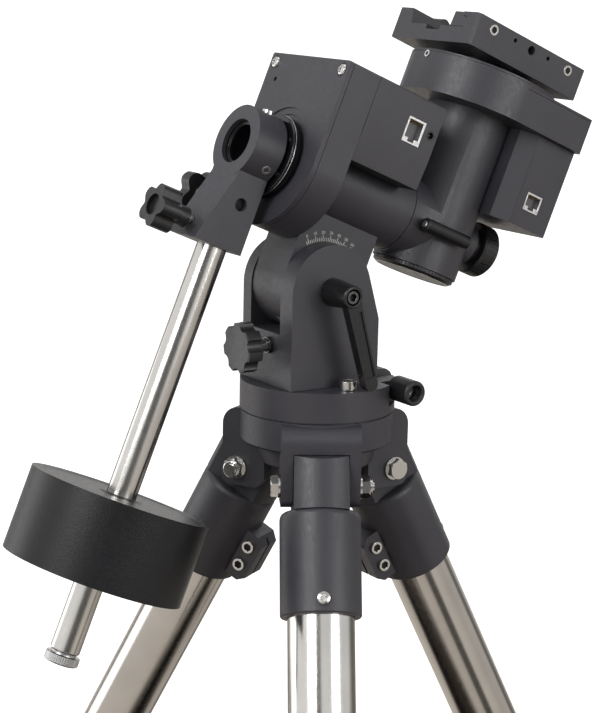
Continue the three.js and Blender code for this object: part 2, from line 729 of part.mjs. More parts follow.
function counterweightBracket() {
  const { ring, front, back, half, foot, toe } = BRACKET;
  const outline = [
    [front + 0.2, -12], [front + 0.2, -21.5], [toe + 0.6, foot + 2], [toe + 1.4, foot], [back + 0.2, foot],
    [back + 0.2, -12],
  ];
  const body = join(
    turned("x", [[0, front], [ring - 0.8, front], [ring, front + 0.8], [ring, back], [0, back]]),
    slab("y", shapeOf(outline), -half, half, 0.7),
  );
  return cut(
    body,
    rod("x", 14.75, front - 1, front + 4),
    rod("x", RA_SHAFT.nose + GAP, front + 3, back + 1),
    rod("z", CW_SHAFT.radius + GAP, foot - 1, CW_SHAFT.top + 0.6).translate(CW_SHAFT.x, 0, 0),
    rod("y", 4.3, -half - 1, 0).translate(CW_SHAFT.x, 0, BRACKET_KNOB.side),
    rod("y", 3.3, 0, half + 1).translate(CW_SHAFT.x, 0, BRACKET_KNOB.side),
    rod("x", 3.3, toe - 5, CW_SHAFT.x).translate(0, 0, BRACKET_KNOB.front),
  );
}

// A lobed clamp knob with its stem; the stem's tip is at the origin and the knob lies along +axis.
function clampKnob(axis, stem, neck, radius, thickness) {
  return join(
    rod(axis, 3, 0, stem + 1),
    rod(axis, 6.8, stem, stem + neck + 0.5),
    slab(axis, lobedShape(radius, 5, radius * 0.28), stem + neck, stem + neck + thickness, 1),
  );
}

function counterweightShaft() {
  const { x, radius, top, end } = CW_SHAFT;
  return turned("z", [
    [0, end + 16], [4.3, end + 16], [4.3, end], [radius - 0.8, end], [radius, end + 0.8], [radius, top - 1],
    [radius - 1, top], [0, top],
  ]).translate(x, 0, 0);
}

function shaftEndCap() {
  const { x, end } = CW_SHAFT;
  return turned("z", [
    [0, end - 8.2], [10.6, end - 8.2], [11.5, end - 7.4], [11.5, end - 2.3], [10.8, end - 1.6],
    [8.5, end - 1.5], [8.5, end - 0.4], [4, end - 0.4], [4, end + 13], [0, end + 13],
  ]).translate(x, 0, 0);
}

function counterweight() {
  const { z, radius, thickness } = WEIGHT;
  const half = thickness / 2;
  const bore = CW_SHAFT.radius + GAP;
  const edge = [0, 30, 60, 90].map((turn) => [
    radius - 3.5 + 3.5 * Math.sin(turn * DEG),
    half - 3.5 + 3.5 * Math.cos(turn * DEG),
  ]);
  const lower = edge.map(([r, h]) => [r, -h]);
  const profile = [[bore, -half], ...lower, ...edge.reverse(), [bore, half], [bore, -half]];
  const body = cut(turned("z", profile), rod("y", 3.3, 5, radius + 2));
  return body.translate(CW_SHAFT.x, 0, z);
}

// Outline of the gear tray in (x, y): round about the declination axis, square to the south.
function trayShape(inset) {
  const radius = TRAY.radius - inset;
  const south = TRAY.south - inset;
  const CORNER = 4;
  const shape = new THREE.Shape();
  shape.moveTo(DEC.x, -radius);
  shape.lineTo(south - CORNER, -radius);
  shape.quadraticCurveTo(south, -radius, south, -radius + CORNER);
  shape.lineTo(south, radius - CORNER);
  shape.quadraticCurveTo(south, radius, south - CORNER, radius);
  shape.lineTo(DEC.x, radius);
  shape.absarc(DEC.x, 0, radius, 90 * DEG, 270 * DEG, false);
  return shape;
}

const CLUTCH = { x: 53, north: 47.6, south: 86.7, y: -35.2, z: -3, radius: 4.7 };

function decHousing() {
  const { x, radius, bottom, shaft } = DEC;
  const { bottom: trayBottom, top, wall, floor } = TRAY;
  const head = turned("z", [
    [0, bottom], [radius - 1.5, bottom], [radius, bottom + 1.5], [radius, trayBottom + 1],
    [0, trayBottom + 1],
  ]).translate(x, 0, 0);
  const body = join(
    head,
    rod("x", HOUSING.cylinder, HOUSING.end + 0.5, x),
    rod("x", 15.5, x, 111.7),
    slab("z", trayShape(0), trayBottom, top, 0.8, 9),
  );
  return cut(
    body,
    slab("z", trayShape(wall), floor, top + 1, 0, 9),
    rod("z", shaft + 0.4, bottom - 1, top).translate(x, 0, 0),
    rod("z", BEARING.decOuter + GAP, BEARING.dec[0] - GAP, floor + 1).translate(x, 0, 0),
    rod("x", RA_SHAFT.bore, 40, 115),
    rod("x", RA_SHAFT.radius + GAP, 40, RA_SHAFT.end + GAP),
    rod("y", 3.3, -40, -18).translate(CLUTCH.x, 0, CLUTCH.z),
  );
}

function decBottomCap() {
  const { x, bottom } = DEC;
  return turned("z", [
    [0, bottom - 4.2], [26.5, bottom - 4.2], [28.8, bottom - 2.6], [28.8, bottom - GAP], [0, bottom - GAP],
  ]).translate(x, 0, 0);
}

function gearCover() {
  return cut(
    join(
      slab("z", trayShape(0), TRAY.top + GAP, TRAY.lid, 0.5, 9),
      rod("z", TRAY.radius, TRAY.lid - 0.9, TRAY.crown).translate(DEC.x, 0, 0),
    ),
    rod("z", DEC.shaft + 0.5, TRAY.top, TRAY.crown + 1).translate(DEC.x, 0, 0),
  );
}

const DEC_PORT = { north: 113.3, south: 127.3, bottom: 32.4, top: 45 };

function motorBox() {
  const { north, south, half, bottom, top, chamferX, chamferY } = MOTOR_BOX;
  const outline = [
    [north, -half + chamferY], [north + chamferX, -half], [south - 1, -half], [south, -half + 1],
    [south, half - 1], [south - 1, half], [north + chamferX, half], [north, half - chamferY],
  ];
  return cut(
    slab("z", shapeOf(outline), bottom, top, 0.6),
    block([111.5, south - 3], [-half + 3, half - 3], [bottom + 3, top + 1]),
    rod("z", DEC.radius + GAP, bottom - 1, top + 1).translate(DEC.x, 0, 0),
    block([DEC_PORT.north - GAP, DEC_PORT.south + GAP], [-half - 1, -half + 4],
      [DEC_PORT.bottom - GAP, DEC_PORT.top + GAP]),
  );
}

function driverBoard() {
  const { north, south, bottom, top } = DEC_PORT;
  const board = block([112, 136.5], [-41, 41], [bottom - 1.6, bottom + 0.1]);
  const jack = block([north, south], [-MOTOR_BOX.half + 0.2, -26], [bottom, top]);
  const chips = block([116, 130], [-10, 12], [bottom, bottom + 2.2]);
  const middle = (north + south) / 2;
  const mouth = block(
    [middle - MOUTH_HALF, middle + MOUTH_HALF],
    [-MOTOR_BOX.half - 1, -31],
    [bottom + 2, top - 1.8],
  );
  return cut(join(board, jack, chips), mouth);
}

function clutchLever() {
  const { x, north, south, y, z, radius } = CLUTCH;
  const handle = turned("x", [
    [0, north], [radius - 1, north], [radius, north + 1], [radius, south - 1], [radius - 1, south],
    [2.2, south], [2.2, south - 3], [0, south - 3],
  ]).translate(0, y, z);
  const neck = join(rod("y", 4.6, y + 2, -28.4), rod("y", 3, -30, -19.5));
  return join(handle, neck.translate(x, 0, z));
}

function polarEyepiece() {
  return turned("x", [
    [0, 103], [RA_SHAFT.bore - GAP, 103], [RA_SHAFT.bore - GAP, 112], [12, 112.4], [12, 117], [17, 117.4],
    [18.5, 119], [18.5, 129], [17, 130.6], [9, 130.6], [7.5, 129], [0, 129],
  ]);
}

piece(polar, "ra_shaft", raShaft(), "anodised");
const raWheel = toothedWheel("x", RA_WHEEL.radius, RA_SHAFT.radius + GAP, RA_WHEEL.low, RA_WHEEL.high);
piece(polar, "ra_worm_wheel", raWheel, "gear");
piece(polar, "counterweight_bracket", counterweightBracket(), "paint");
piece(polar, "bracket_knob_front", clampKnob("x", 14, 12.7, 14.4, 14.5)
  .rotateY(Math.PI).translate(-91.8, 0, BRACKET_KNOB.front), "plastic");
piece(polar, "bracket_knob_side", clampKnob("y", 7.5, 12, 17.2, 10)
  .translate(CW_SHAFT.x, CW_SHAFT.radius + 0.4, BRACKET_KNOB.side), "plastic");
piece(polar, "counterweight_shaft", counterweightShaft(), "steel");
piece(polar, "shaft_end_cap", shaftEndCap(), "steel");
piece(polar, "counterweight", counterweight(), "iron");
piece(polar, "counterweight_knob", clampKnob("y", WEIGHT.radius - 9.8, 6, 14, 10)
  .translate(CW_SHAFT.x, CW_SHAFT.radius + 0.4, WEIGHT.z), "plastic");
piece(polar, "dec_housing", decHousing(), "paint");
const decBearing = bearing("z", DEC.shaft, BEARING.decOuter, BEARING.dec);
piece(polar, "dec_bearing", decBearing.translate(DEC.x, 0, 0), "steel");
piece(polar, "dec_bottom_cap", decBottomCap(), "anodised");
piece(polar, "gear_cover", gearCover(), "paint");
piece(polar, "motor_box", motorBox(), "paint");
piece(polar, "driver_board", driverBoard(), "board");
piece(polar, "dec_motor", driveMotor(7.6, 43).translate(DEC_WORM.x, 0, DEC_WORM.z), "anodised");
piece(polar, "dec_worm", driveWorm().translate(DEC_WORM.x, 0, DEC_WORM.z), "steel");
piece(polar, "ra_clutch_lever", clutchLever(), "plastic");
piece(polar, "polar_eyepiece", polarEyepiece(), "plastic");

// ---------------------------------------------------------------- declination body

const CLAMP = { x: 73, z: 131.5, radius: 15.5, halfPad: 12, pocket: 36 };

function decShaft() {
  const { x, shaft, bore, bottom } = DEC;
  const FLANGE = 36;
  const start = bottom + 0.4;
  const step = TRAY.crown + 0.4;
  const end = SADDLE.bottom - GAP;
  const body = turned("z", [
    [bore, start], [shaft, start], [shaft, step], [FLANGE, step], [FLANGE, end], [bore, end], [bore, start],
  ]).translate(x, 0, 0);
  return cut(body, rod("x", 11.5, x - 20, x + 20));
}

function saddle() {
  const { north, south, near, far, bottom, top, floor } = SADDLE;
  const outline = [
    [near, bottom + 0.8], [near + 0.8, bottom], [far - 0.8, bottom], [far, bottom + 0.8], [far, top - 0.8],
    [far - 0.8, top], [31.5, top], [28.4, floor], [10.2, floor], [10.2, floor - 3.2], [-4.8, floor - 3.2],
    [-4.8, floor], [-28.7, floor], [-29.1, 134.4], [-25, 135.1], [-24.7, top], [near + 0.8, top],
    [near, top - 0.8],
  ];
  const corner = (x, way) =>
    slab("z", shapeOf([[x, near - 1], [x, near + 2], [x + way * 3, near - 1]]), bottom - 1, top + 1);
  const pad = CLAMP.halfPad + GAP;
  return cut(
    slab("x", shapeOf(outline), north, south),
    corner(north - 0.1, 1),
    corner(south + 0.1, -1),
    block([CLAMP.x - pad, CLAMP.x + pad], [27, CLAMP.pocket], [floor + 0.6, top + 1]),
    rod("y", 3.3, CLAMP.pocket - 1, far + 1).translate(CLAMP.x, 0, CLAMP.z),
  );
}

// The fixed jaw: an undercut bar screwed to the saddle's near side.
function saddleInsert() {
  const { north, south, top, floor } = SADDLE;
  const low = floor + GAP;
  const outline = [[-14.6, top], [-24.3, top], [-24.6, 134.8], [-28.7, 134.1], [-28.3, low], [-13.8, low]];
  return slab("x", shapeOf(outline), north + 0.4, south - 0.4, 0.4);
}

// The moving pad that the knob's screw presses against the plate in the saddle.
function saddlePad() {
  const { top, floor } = SADDLE;
  const low = floor + 1;
  const high = top - 0.5;
  const outline = [[28.6, low], [CLAMP.pocket - GAP, low], [CLAMP.pocket - GAP, high], [31.2, high]];
  return slab("x", shapeOf(outline), CLAMP.x - CLAMP.halfPad, CLAMP.x + CLAMP.halfPad, 0.4);
}

function saddleKnob() {
  const { far } = SADDLE;
  return join(
    rod("y", 3, CLAMP.pocket + 0.1, far + 1),
    rod("y", 7, far + GAP, far + 5),
    slab("y", lobedShape(CLAMP.radius, 6, 3.4), far + 4.5, far + 17.5, 1),
  ).translate(CLAMP.x, 0, CLAMP.z);
}

piece(polar, "dec_shaft", decShaft(), "steel");
const decWheel = toothedWheel("z", DEC_WHEEL.radius, DEC.shaft + GAP, DEC_WHEEL.low, DEC_WHEEL.high);
piece(polar, "dec_worm_wheel", decWheel.translate(DEC.x, 0, 0), "gear");
piece(polar, "saddle", saddle(), "paint");
piece(polar, "saddle_insert", saddleInsert(), "paint");
piece(polar, "saddle_pad", saddlePad(), "plastic");
piece(polar, "saddle_knob", saddleKnob(), "plastic");

// ---------------------------------------------------------------- the whole, standing on z = 0

const mount = new THREE.Group();
mount.add(stand);
mount.updateMatrixWorld(true);
const box = new THREE.Box3().setFromObject(mount, true);
const middle = box.getCenter(new THREE.Vector3());
stand.position.set(-middle.x, -middle.y, -box.min.z);

export default mount;
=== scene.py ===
"""Looks of a centre-balanced equatorial telescope mount on a folding stand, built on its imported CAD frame.

Pieces are modelled in millimetres in the part's own frames and then placed in the row frame:
    STAND  origin on the azimuth axis at the azimuth ring's top face, +Z up
    POLAR  +X along the polar axis to the declination head, +Z along the declination axis at rest
    LEGS   origin on a leg's pivot, -Z down the leg, +X outwards, Y along the pivot bolt
"""

import json
import math

import bmesh
import bpy
from mathutils import Matrix, Vector


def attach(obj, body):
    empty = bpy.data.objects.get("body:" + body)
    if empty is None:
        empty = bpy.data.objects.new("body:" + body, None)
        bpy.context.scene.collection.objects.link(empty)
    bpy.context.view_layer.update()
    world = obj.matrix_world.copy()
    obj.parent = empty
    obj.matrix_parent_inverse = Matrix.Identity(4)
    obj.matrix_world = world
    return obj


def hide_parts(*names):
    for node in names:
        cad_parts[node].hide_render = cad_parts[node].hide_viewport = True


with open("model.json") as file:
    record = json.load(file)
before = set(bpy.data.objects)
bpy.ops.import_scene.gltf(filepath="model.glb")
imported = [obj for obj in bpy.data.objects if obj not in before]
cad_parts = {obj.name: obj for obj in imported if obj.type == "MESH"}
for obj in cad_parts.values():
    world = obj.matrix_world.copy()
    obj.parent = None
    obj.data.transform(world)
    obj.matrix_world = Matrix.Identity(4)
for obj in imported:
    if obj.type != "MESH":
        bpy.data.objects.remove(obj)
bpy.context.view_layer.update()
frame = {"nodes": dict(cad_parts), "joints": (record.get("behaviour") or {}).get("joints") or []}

MM = 0.001
JOINTS = {j["name"]: j for j in frame["joints"]}

# ---------------------------------------------------------------- frames


def axes_at(origin, x, y):
    x, y = Vector(x).normalized(), Vector(y).normalized()
    z = x.cross(y)
    matrix = Matrix((x, y, z)).transposed().to_4x4()
    matrix.translation = Vector(origin)
    return matrix @ Matrix.Scale(MM, 4)


RING_ABOVE_JOINT = 10 * MM
STAND = axes_at(Vector(JOINTS["azimuth"]["pos_m"]) + Vector((0, 0, RING_ABOVE_JOINT)), (1, 0, 0), (0, 1, 0))
POLAR = axes_at(JOINTS["right_ascension"]["pos_m"], JOINTS["right_ascension"]["axis"], (0, 1, 0))
PIVOT = (-12, 64.3)
AT_PIVOT = {"x": PIVOT[0], "z": PIVOT[1]}
PIVOT_IN_POLAR = (-2.8, 0, -68.3)
LEG_NAMES = ["leg_1", "leg_2", "leg_3"]
LEGS = {
    name: axes_at(JOINTS[name + "_fold"]["pos_m"], JOINTS[name + "_lock"]["axis"],
                  JOINTS[name + "_fold"]["axis"])
    for name in LEG_NAMES
}

DEG = math.pi / 180
FINE = 96


def scene_object(name, data):
    obj = bpy.data.objects.new(name, data)
    bpy.context.scene.collection.objects.link(obj)
    return obj


# ---------------------------------------------------------------- shapes, as meshes in millimetres


def mesh_from(bm):
    bmesh.ops.recalc_face_normals(bm, faces=bm.faces)
    mesh = bpy.data.meshes.new("shape")
    bm.to_mesh(mesh)
    bm.free()
    return mesh


def along(axis, a, b, c):
    """(a, b) across and c along an axis, as x, y, z."""
    return {"x": (c, a, b), "y": (a, c, b), "z": (a, b, c)}[axis]


def turned(axis, profile, sides=FINE):
    """[radius, height] pairs turned about an axis; the profile starts and ends on the axis or closes."""
    bm = bmesh.new()
    rings = []
    for radius, height in profile:
        if radius < 1e-6:
            rings.append([bm.verts.new(along(axis, 0, 0, height))])
            continue
        ring = []
        for k in range(sides):
            turn = 2 * math.pi * k / sides
            ring.append(bm.verts.new(along(axis, radius * math.cos(turn), radius * math.sin(turn), height)))
        rings.append(ring)
    closed = profile[0][0] > 1e-6
    for first, second in zip(rings, rings[1:] + (rings[:1] if closed else [])):
        for k in range(sides):
            corners = [first[k % len(first)], first[(k + 1) % len(first)], second[(k + 1) % len(second)],
                       second[k % len(second)]]
            unique = list(dict.fromkeys(corners))
            if len(unique) > 2:
                bm.faces.new(unique)
    return mesh_from(bm)


def rod(axis, radius, low, high, sides=48):
    return turned(axis, [(0, low), (radius, low), (radius, high), (0, high)], sides)


def pipe(axis, outer, inner, low, high, sides=FINE):
    return turned(axis, [(inner, low), (outer, low), (outer, high), (inner, high)], sides)


def slab(axis, outline, low, high):
    """A closed outline extruded: (y, z) along x, (x, z) along y, (x, y) along z."""
    bm = bmesh.new()
    ends = [[bm.verts.new(along(axis, a, b, c)) for a, b in outline] for c in (low, high)]
    bm.faces.new(ends[0])
    bm.faces.new(ends[1])
    count = len(outline)
    for k in range(count):
        after = (k + 1) % count
        bm.faces.new([ends[0][k], ends[0][after], ends[1][after], ends[1][k]])
    return mesh_from(bm)


def block(xs, ys, zs):
    return slab("z", [(xs[0], ys[0]), (xs[1], ys[0]), (xs[1], ys[1]), (xs[0], ys[1])], *zs)


def arc(centre, radius, start, end, steps=24):
    """Points on a circle from one angle to another, in degrees."""
    points = []
    for k in range(steps + 1):
        turn = (start + (end - start) * k / steps) * DEG
        points.append((centre[0] + radius * math.cos(turn), centre[1] + radius * math.sin(turn)))
    return points


def hexagon(flats, phase=0):
    return arc((0, 0), flats / math.sqrt(3), phase, phase + 300, 5)


def lobed(radius, lobes, hollow, power=1.6):
    """The outline of a hand knob with round lobes and hollows between them."""
    points = []
    for k in range(lobes * 22):
        turn = 2 * math.pi * k / (lobes * 22)
        dip = (0.5 - 0.5 * math.cos(lobes * turn)) ** power
        points.append(((radius - hollow * dip) * math.cos(turn), (radius - hollow * dip) * math.sin(turn)))
    return points


def moved(mesh, x=0, y=0, z=0):
    mesh.transform(Matrix.Translation((x, y, z)))
    return mesh


def spun(mesh, axis, degrees):
    mesh.transform(Matrix.Rotation(degrees * DEG, 4, axis.upper()))
    return mesh


def combined(first, *steps):
    """Boolean steps ("add" | "cut" | "keep", mesh) applied in turn to a first mesh."""
    base = scene_object("base", first)
    tools = []
    for kind, mesh in steps:
        tool = scene_object("tool", mesh)
        tools.append(tool)
        boolean = base.modifiers.new("boolean", "BOOLEAN")
        boolean.operation = {"add": "UNION", "cut": "DIFFERENCE", "keep": "INTERSECT"}[kind]
        boolean.solver = "MANIFOLD"
        boolean.object = tool
    bpy.context.view_layer.update()
    result = bpy.data.meshes.new_from_object(base.evaluated_get(bpy.context.evaluated_depsgraph_get()))
    for obj in tools + [base]:
        bpy.data.objects.remove(obj)
    return result


def add(*meshes):
    return [("add", mesh) for mesh in meshes]


def cut(*meshes):
    return [("cut", mesh) for mesh in meshes]


# ---------------------------------------------------------------- materials


def new_node(tree, kind, inputs, **fields):
    """A shader node with fields set, and each input given a value or linked to an output."""
    node = tree.nodes.new("ShaderNode" + kind)
    for field, value in fields.items():
        setattr(node, field, value)
    for name, value in inputs.items():
        if isinstance(value, bpy.types.NodeSocket):
            tree.links.new(value, node.inputs[name])
        else:
            node.inputs[name].default_value = value
    return node


def color_ramp(tree, source, stops):
    """Colours by position along a source, from (position, colour) stops."""
    ramp = new_node(tree, "ValToRGB", {"Fac": source})
    elements = ramp.color_ramp.elements
    for element, (position, color) in zip(list(elements), (stops[0], stops[-1])):
        element.position = position
        element.color = (*color, 1)
    for position, color in stops[1:-1]:
        elements.new(position).color = (*color, 1)
    return ramp.outputs["Color"]


class Look:
    """A principled material with small helpers for its procedural detail."""

    def __init__(self, name, color, roughness, metallic=0.0, specular=0.5):
        self.material = bpy.data.materials.new(name)
        self.material.use_nodes = True
        self.tree = self.material.node_tree
        self.shader = self.tree.nodes["Principled BSDF"]
        self.shader.inputs["Base Color"].default_value = (*color, 1)
        self.shader.inputs["Roughness"].default_value = roughness
        self.shader.inputs["Metallic"].default_value = metallic
        self.shader.inputs["Specular IOR Level"].default_value = specular
        self.place = new_node(self.tree, "TexCoord", {}).outputs["Object"]
        self.normal = None

    def glow(self, strength):
        self.shader.inputs["Emission Color"].default_value = (1, 1, 1, 1)
        self.shader.inputs["Emission Strength"].default_value = strength

    def link(self, output, name):
        self.tree.links.new(output, self.shader.inputs[name])

    def noise(self, scale, detail=3.0, stretch=(1, 1, 1)):
        place = new_node(self.tree, "Mapping", {"Scale": stretch, "Vector": self.place}).outputs["Vector"]
        inputs = {"Scale": scale, "Detail": detail, "Vector": place}
        return new_node(self.tree, "TexNoise", inputs).outputs["Fac"]

    def tint(self, source, dark, light):
        self.link(color_ramp(self.tree, source, [(0.3, dark), (0.7, light)]), "Base Color")

    def rough(self, source, smooth, rough):
        inputs = {"Value": source, "From Min": 0.3, "From Max": 0.7, "To Min": smooth, "To Max": rough}
        self.link(new_node(self.tree, "MapRange", inputs).outputs["Result"], "Roughness")

    def bump(self, source, strength, distance):
        inputs = {"Strength": strength, "Distance": distance, "Height": source}
        if self.normal:
            inputs["Normal"] = self.normal
        self.normal = new_node(self.tree, "Bump", inputs).outputs["Normal"]
        self.link(self.normal, "Normal")


def paint(name, dark, light, rough=(0.38, 0.5), specular=0.5):
    """Satin powder paint: a fine orange-peel grain, and a slow drift in tone and gloss."""
    look = Look(name, dark, 0.42, 0.0, specular)
    look.tint(look.noise(22, 2), dark, light)
    look.rough(look.noise(320, 2), *rough)
    look.bump(look.noise(1500, 2), 0.42, 0.0003)
    look.bump(look.noise(420, 2), 0.10, 0.0005)
    return look.material


def metal(name, color, rough, grain=900, stretch=(1, 1, 1), strength=0.04):
    """Bright metal with a faint brushed or turned grain."""
    look = Look(name, color, rough[0], 1.0)
    streaks = look.noise(grain, 3, stretch)
    look.tint(look.noise(30, 2), tuple(0.9 * c for c in color), color)
    look.rough(streaks, *rough)
    look.bump(streaks, strength, 0.0002)
    return look.material


def plastic(name, color, rough=(0.42, 0.6), grain=1800, strength=0.25):
    """Moulded plastic or rubber with a fine eroded grain."""
    look = Look(name, color, rough[0])
    look.tint(look.noise(40, 2), color, tuple(1.35 * c for c in color))
    look.rough(look.noise(250, 2), *rough)
    look.bump(look.noise(grain, 3), strength, 0.0003)
    return look.material


PAINT = paint("charcoal_paint", (0.030, 0.0285, 0.035), (0.037, 0.0355, 0.043), (0.36, 0.48))
IRON = paint("counterweight_enamel", (0.005, 0.005, 0.006), (0.008, 0.008, 0.010), (0.31, 0.40), 0.36)
GLOSS = plastic("gloss_black_anodise", (0.005, 0.005, 0.006), (0.10, 0.16), 700, 0.03)
BLACK = plastic("black_plastic", (0.009, 0.009, 0.010), (0.30, 0.44))
KNOB_FACE = plastic("grey_knob_face", (0.055, 0.055, 0.058), (0.45, 0.6))
SCALE_INK = plastic("grey_scale_print", (0.42, 0.42, 0.40), (0.5, 0.6), 900, 0.05)
LEVER_BLACK = plastic("lever_black", (0.006, 0.006, 0.007), (0.26, 0.34), 900, 0.03)
DARK_STEEL = metal("blackened_steel", (0.13, 0.13, 0.135), (0.22, 0.32), 900)
RUBBER = plastic("rubber", (0.020, 0.020, 0.021), (0.6, 0.8), 1200, 0.35)
STEEL = metal("polished_stainless", (0.66, 0.64, 0.61), (0.12, 0.20), 1200, (1, 1, 0.06), 0.015)
CHROME = metal("chrome_fastener", (0.68, 0.67, 0.65), (0.12, 0.20), 600)
SILVER = metal("satin_aluminium", (0.66, 0.66, 0.66), (0.22, 0.34), 2200)
BRASS = metal("machined_brass", (0.62, 0.44, 0.20), (0.22, 0.36), 1500)
# Flat black standing in for shade: painted shade in screw sockets, joint gaps, a hole and under the cover;
# also the real black of the board chips.
DARK = plastic("painted_shade_and_chip_black", (0.002, 0.002, 0.002), (0.7, 0.9))
JACK_TIN = metal("tinned_steel", (0.72, 0.72, 0.72), (0.26, 0.36), 1500)
JACK_GREY = plastic("grey_socket_lining", (0.10, 0.10, 0.105), (0.45, 0.6))
BOARD = plastic("green_circuit_board", (0.012, 0.085, 0.035), (0.3, 0.45), 900, 0.08)

# ---------------------------------------------------------------- pieces


def piece(name, body, place, mesh, material, replaces=(), bevel=0.4, segments=2):
    """A finished piece: put in place, its edges softened, riding on a body and standing for CAD nodes."""
    mesh = mesh.copy()
    mesh.transform(place)
    obj = scene_object(name, mesh)
    mesh.materials.clear()
    mesh.materials.append(material)
    mesh.polygons.foreach_set("use_smooth", [True] * len(mesh.polygons))
    if bevel:
        edges = obj.modifiers.new("soft_edges", "BEVEL")
        edges.width = bevel * MM
        edges.segments = segments
        edges.limit_method = "ANGLE"
        edges.angle_limit = 32 * DEG
        edges.use_clamp_overlap = True
        edges.harden_normals = True
    normals = obj.modifiers.new("normals", "WEIGHTED_NORMAL")
    normals.keep_sharp = True
    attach(obj, body)
    if replaces:
        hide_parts(*replaces)
    return obj


def hex_socket_screw(name, body, place, axis, at, radius, base, top, material=CHROME, socket=0.48):
    """A cap screw's head standing on a face at base, rising to top along an axis, with painted shade on its
    socket's floor.
    """
    inside = top - 0.7 * (top - base)
    outside = top + math.copysign(1, top - base)
    hollow = slab(axis, hexagon(2 * radius * socket), *sorted((inside, outside)))
    head = combined(rod(axis, radius, *sorted((base, top))), *cut(hollow))
    # A black disc at the socket's floor: painted shade in the hex socket.
    socket_floor_shade = slab(axis, hexagon(1.96 * radius * socket),
                           *sorted((inside, inside + 0.2 * (top - base))))
    piece(name + "_socket", body, place, moved(socket_floor_shade, *at), DARK, bevel=0)
    return piece(name, body, place, moved(head, *at), material, bevel=0.35)


def cross_screw(name, body, place, axis, at, radius, base, top, material=CHROME):
    """A pan-head screw with a cross recess."""
    rise = top - base
    profile = [(0, base), (radius, base), (radius, base + 0.35 * rise), (0.86 * radius, base + 0.75 * rise),
               (0.5 * radius, top), (0, top)]
    deep, out = base + 0.4 * rise, top + 0.3 * rise
    arm = 0.62 * radius
    bars = []
    for a, b in ((arm, 0.16 * radius), (0.16 * radius, arm)):
        bars.append(slab(axis, [(-a, -b), (a, -b), (a, b), (-a, b)], *sorted((deep, out))))
    head = combined(turned(axis, profile, 40), *cut(*bars))
    return piece(name, body, place, moved(head, *at), material, bevel=0.12)


def knob_head(axis, radius, lobes, hollow, low, high, dish=0.48):
    """A lobed head with a round dish in its outer face, at the high end."""
    hole = rod(axis, radius * dish, high - 3.2, high + 0.5)
    return combined(slab(axis, lobed(radius, lobes, hollow), low, high), *cut(hole))


FAR_NEAR = {"near": -1, "far": 1}
M6_HOLE, M8_HOLE = 3.3, 4.3

# ---------------------------------------------------------------- stand: hub

LEG_SPREAD = 27.8
CLEVIS_HALF, TONGUE_HALF = 26.25, 18.2


def clevis_outline():
    return [(15, -22), *arc((46.5, -34), 12, 90, 0, 10), *arc((52.5, -70.8), 6, 0, -90, 6), (32, -76.8),
            (26, -70.8), (26, -58), (15, -58)]


def tripod_hub():
    top = -20.3
    profile = [(0, -58), (37, -58), (39, -56), (41, -46), (50.5, -42.5), (52, -41), (52, top - 1.1),
               (50.8, top - 1.1), (50.8, top), (0, top)]
    peg = [(31, top - 1), (31, 3.8), (43, 3.8), (48, 3.2), (51, 1.2), (53, -2.2), (54, -6.2), (54, top - 8),
           (48, top - 12), (31, top - 12)]
    steps = add(rod("z", 14.7, top - 1, -8), slab("y", peg, -13, 13))
    for k in range(3):
        steps += add(spun(slab("y", clevis_outline(), -CLEVIS_HALF, CLEVIS_HALF), "z", k * 120))
    slot = [(19.3, -130), (19.3, -56), (26, -46), (33, -39.6), (90, -39.6), (90, -130)]
    for k in range(3):
        steps += cut(spun(slab("y", slot, -TONGUE_HALF - 0.4, TONGUE_HALF + 0.4), "z", k * 120))
        steps += cut(spun(moved(rod("y", M8_HOLE, -30, 30), 47.5, 0, -64), "z", k * 120))
    return combined(turned("z", profile, 128), *steps)


piece("hub_casting", "stand", STAND, tripod_hub(), PAINT, ["tripod_hub"], 1.0, 3)

# ---------------------------------------------------------------- stand: legs

LUG_SCREWS = (52.5, 68)


def socket_casting():
    out, head = 27.5, 23.8
    sin, cos = math.sin(LEG_SPREAD * DEG), math.cos(LEG_SPREAD * DEG)
    tongue = [(out, -19.6), (out, head * cos - (out - head * sin) * sin / cos)]
    tongue += arc((0, 0), head, 90 - LEG_SPREAD, 180, 20) + [(-out, -8), (-out, -19.6)]
    ear = combined(rod("z", 27, -19.5, 27, FINE), ("keep", slab("y", tongue, -TONGUE_HALF, TONGUE_HALF)))
    barrel = turned("z", [(0, -26), (22.5, -26), (22.5, -88), (26.2, -88), (27, -87), (27, -23.4),
                          (26.7, -21.4), (25.8, -19.8), (24.4, -18.9), (22.5, -18.6), (0, -18.6)])
    lug = slab("y", [(-20, -42.5), (-34, -42.5), (-39.5, -48), (-39.5, -75), (-34.5, -80), (-20, -80)],
               -11.5, 11.5)
    holes = [moved(rod("y", 2.75, -14, 14), -31, 0, -depth) for depth in LUG_SCREWS]
    return combined(
        ear, *add(barrel, lug),
        *cut(rod("z", 22.5, -94, -26, FINE), block((-45, -18), (-1.2, 1.2), (-96, -44.5)),
             rod("y", M8_HOLE, -30, 30),
             moved(rod("x", 2.1, 20, 30), 0, 0, -79), *holes),
    )


def bolt_parts():
    face = CLEVIS_HALF + 0.3
    washers = [rod("y", 8, -face - 1.3, -face), rod("y", 8, face, face + 1.3)]
    head = combined(slab("y", hexagon(13), -face - 6.4, -face - 1.2),
                    ("keep", turned("y", [(0, -face - 6.4), (6.5, -face - 6.4), (7.7, -face - 5.2),
                                          (7.7, -face - 1), (0, -face - 1)], 48)))
    nut = combined(slab("y", hexagon(13, 12), face + 1.2, face + 7),
                   ("keep", turned("y", [(0, face + 1), (7.7, face + 1), (7.7, face + 5.6), (6.5, face + 7),
                                         (0, face + 7)], 48)))
    collar = turned("y", [(4, face + 6.5), (5.8, face + 6.5), (5.8, face + 8), (5.2, face + 8.4),
                          (4, face + 8.4)], 48)
    return combined(rod("y", 4, -face - 2, face + 9.5), *add(*washers, head, nut, collar))


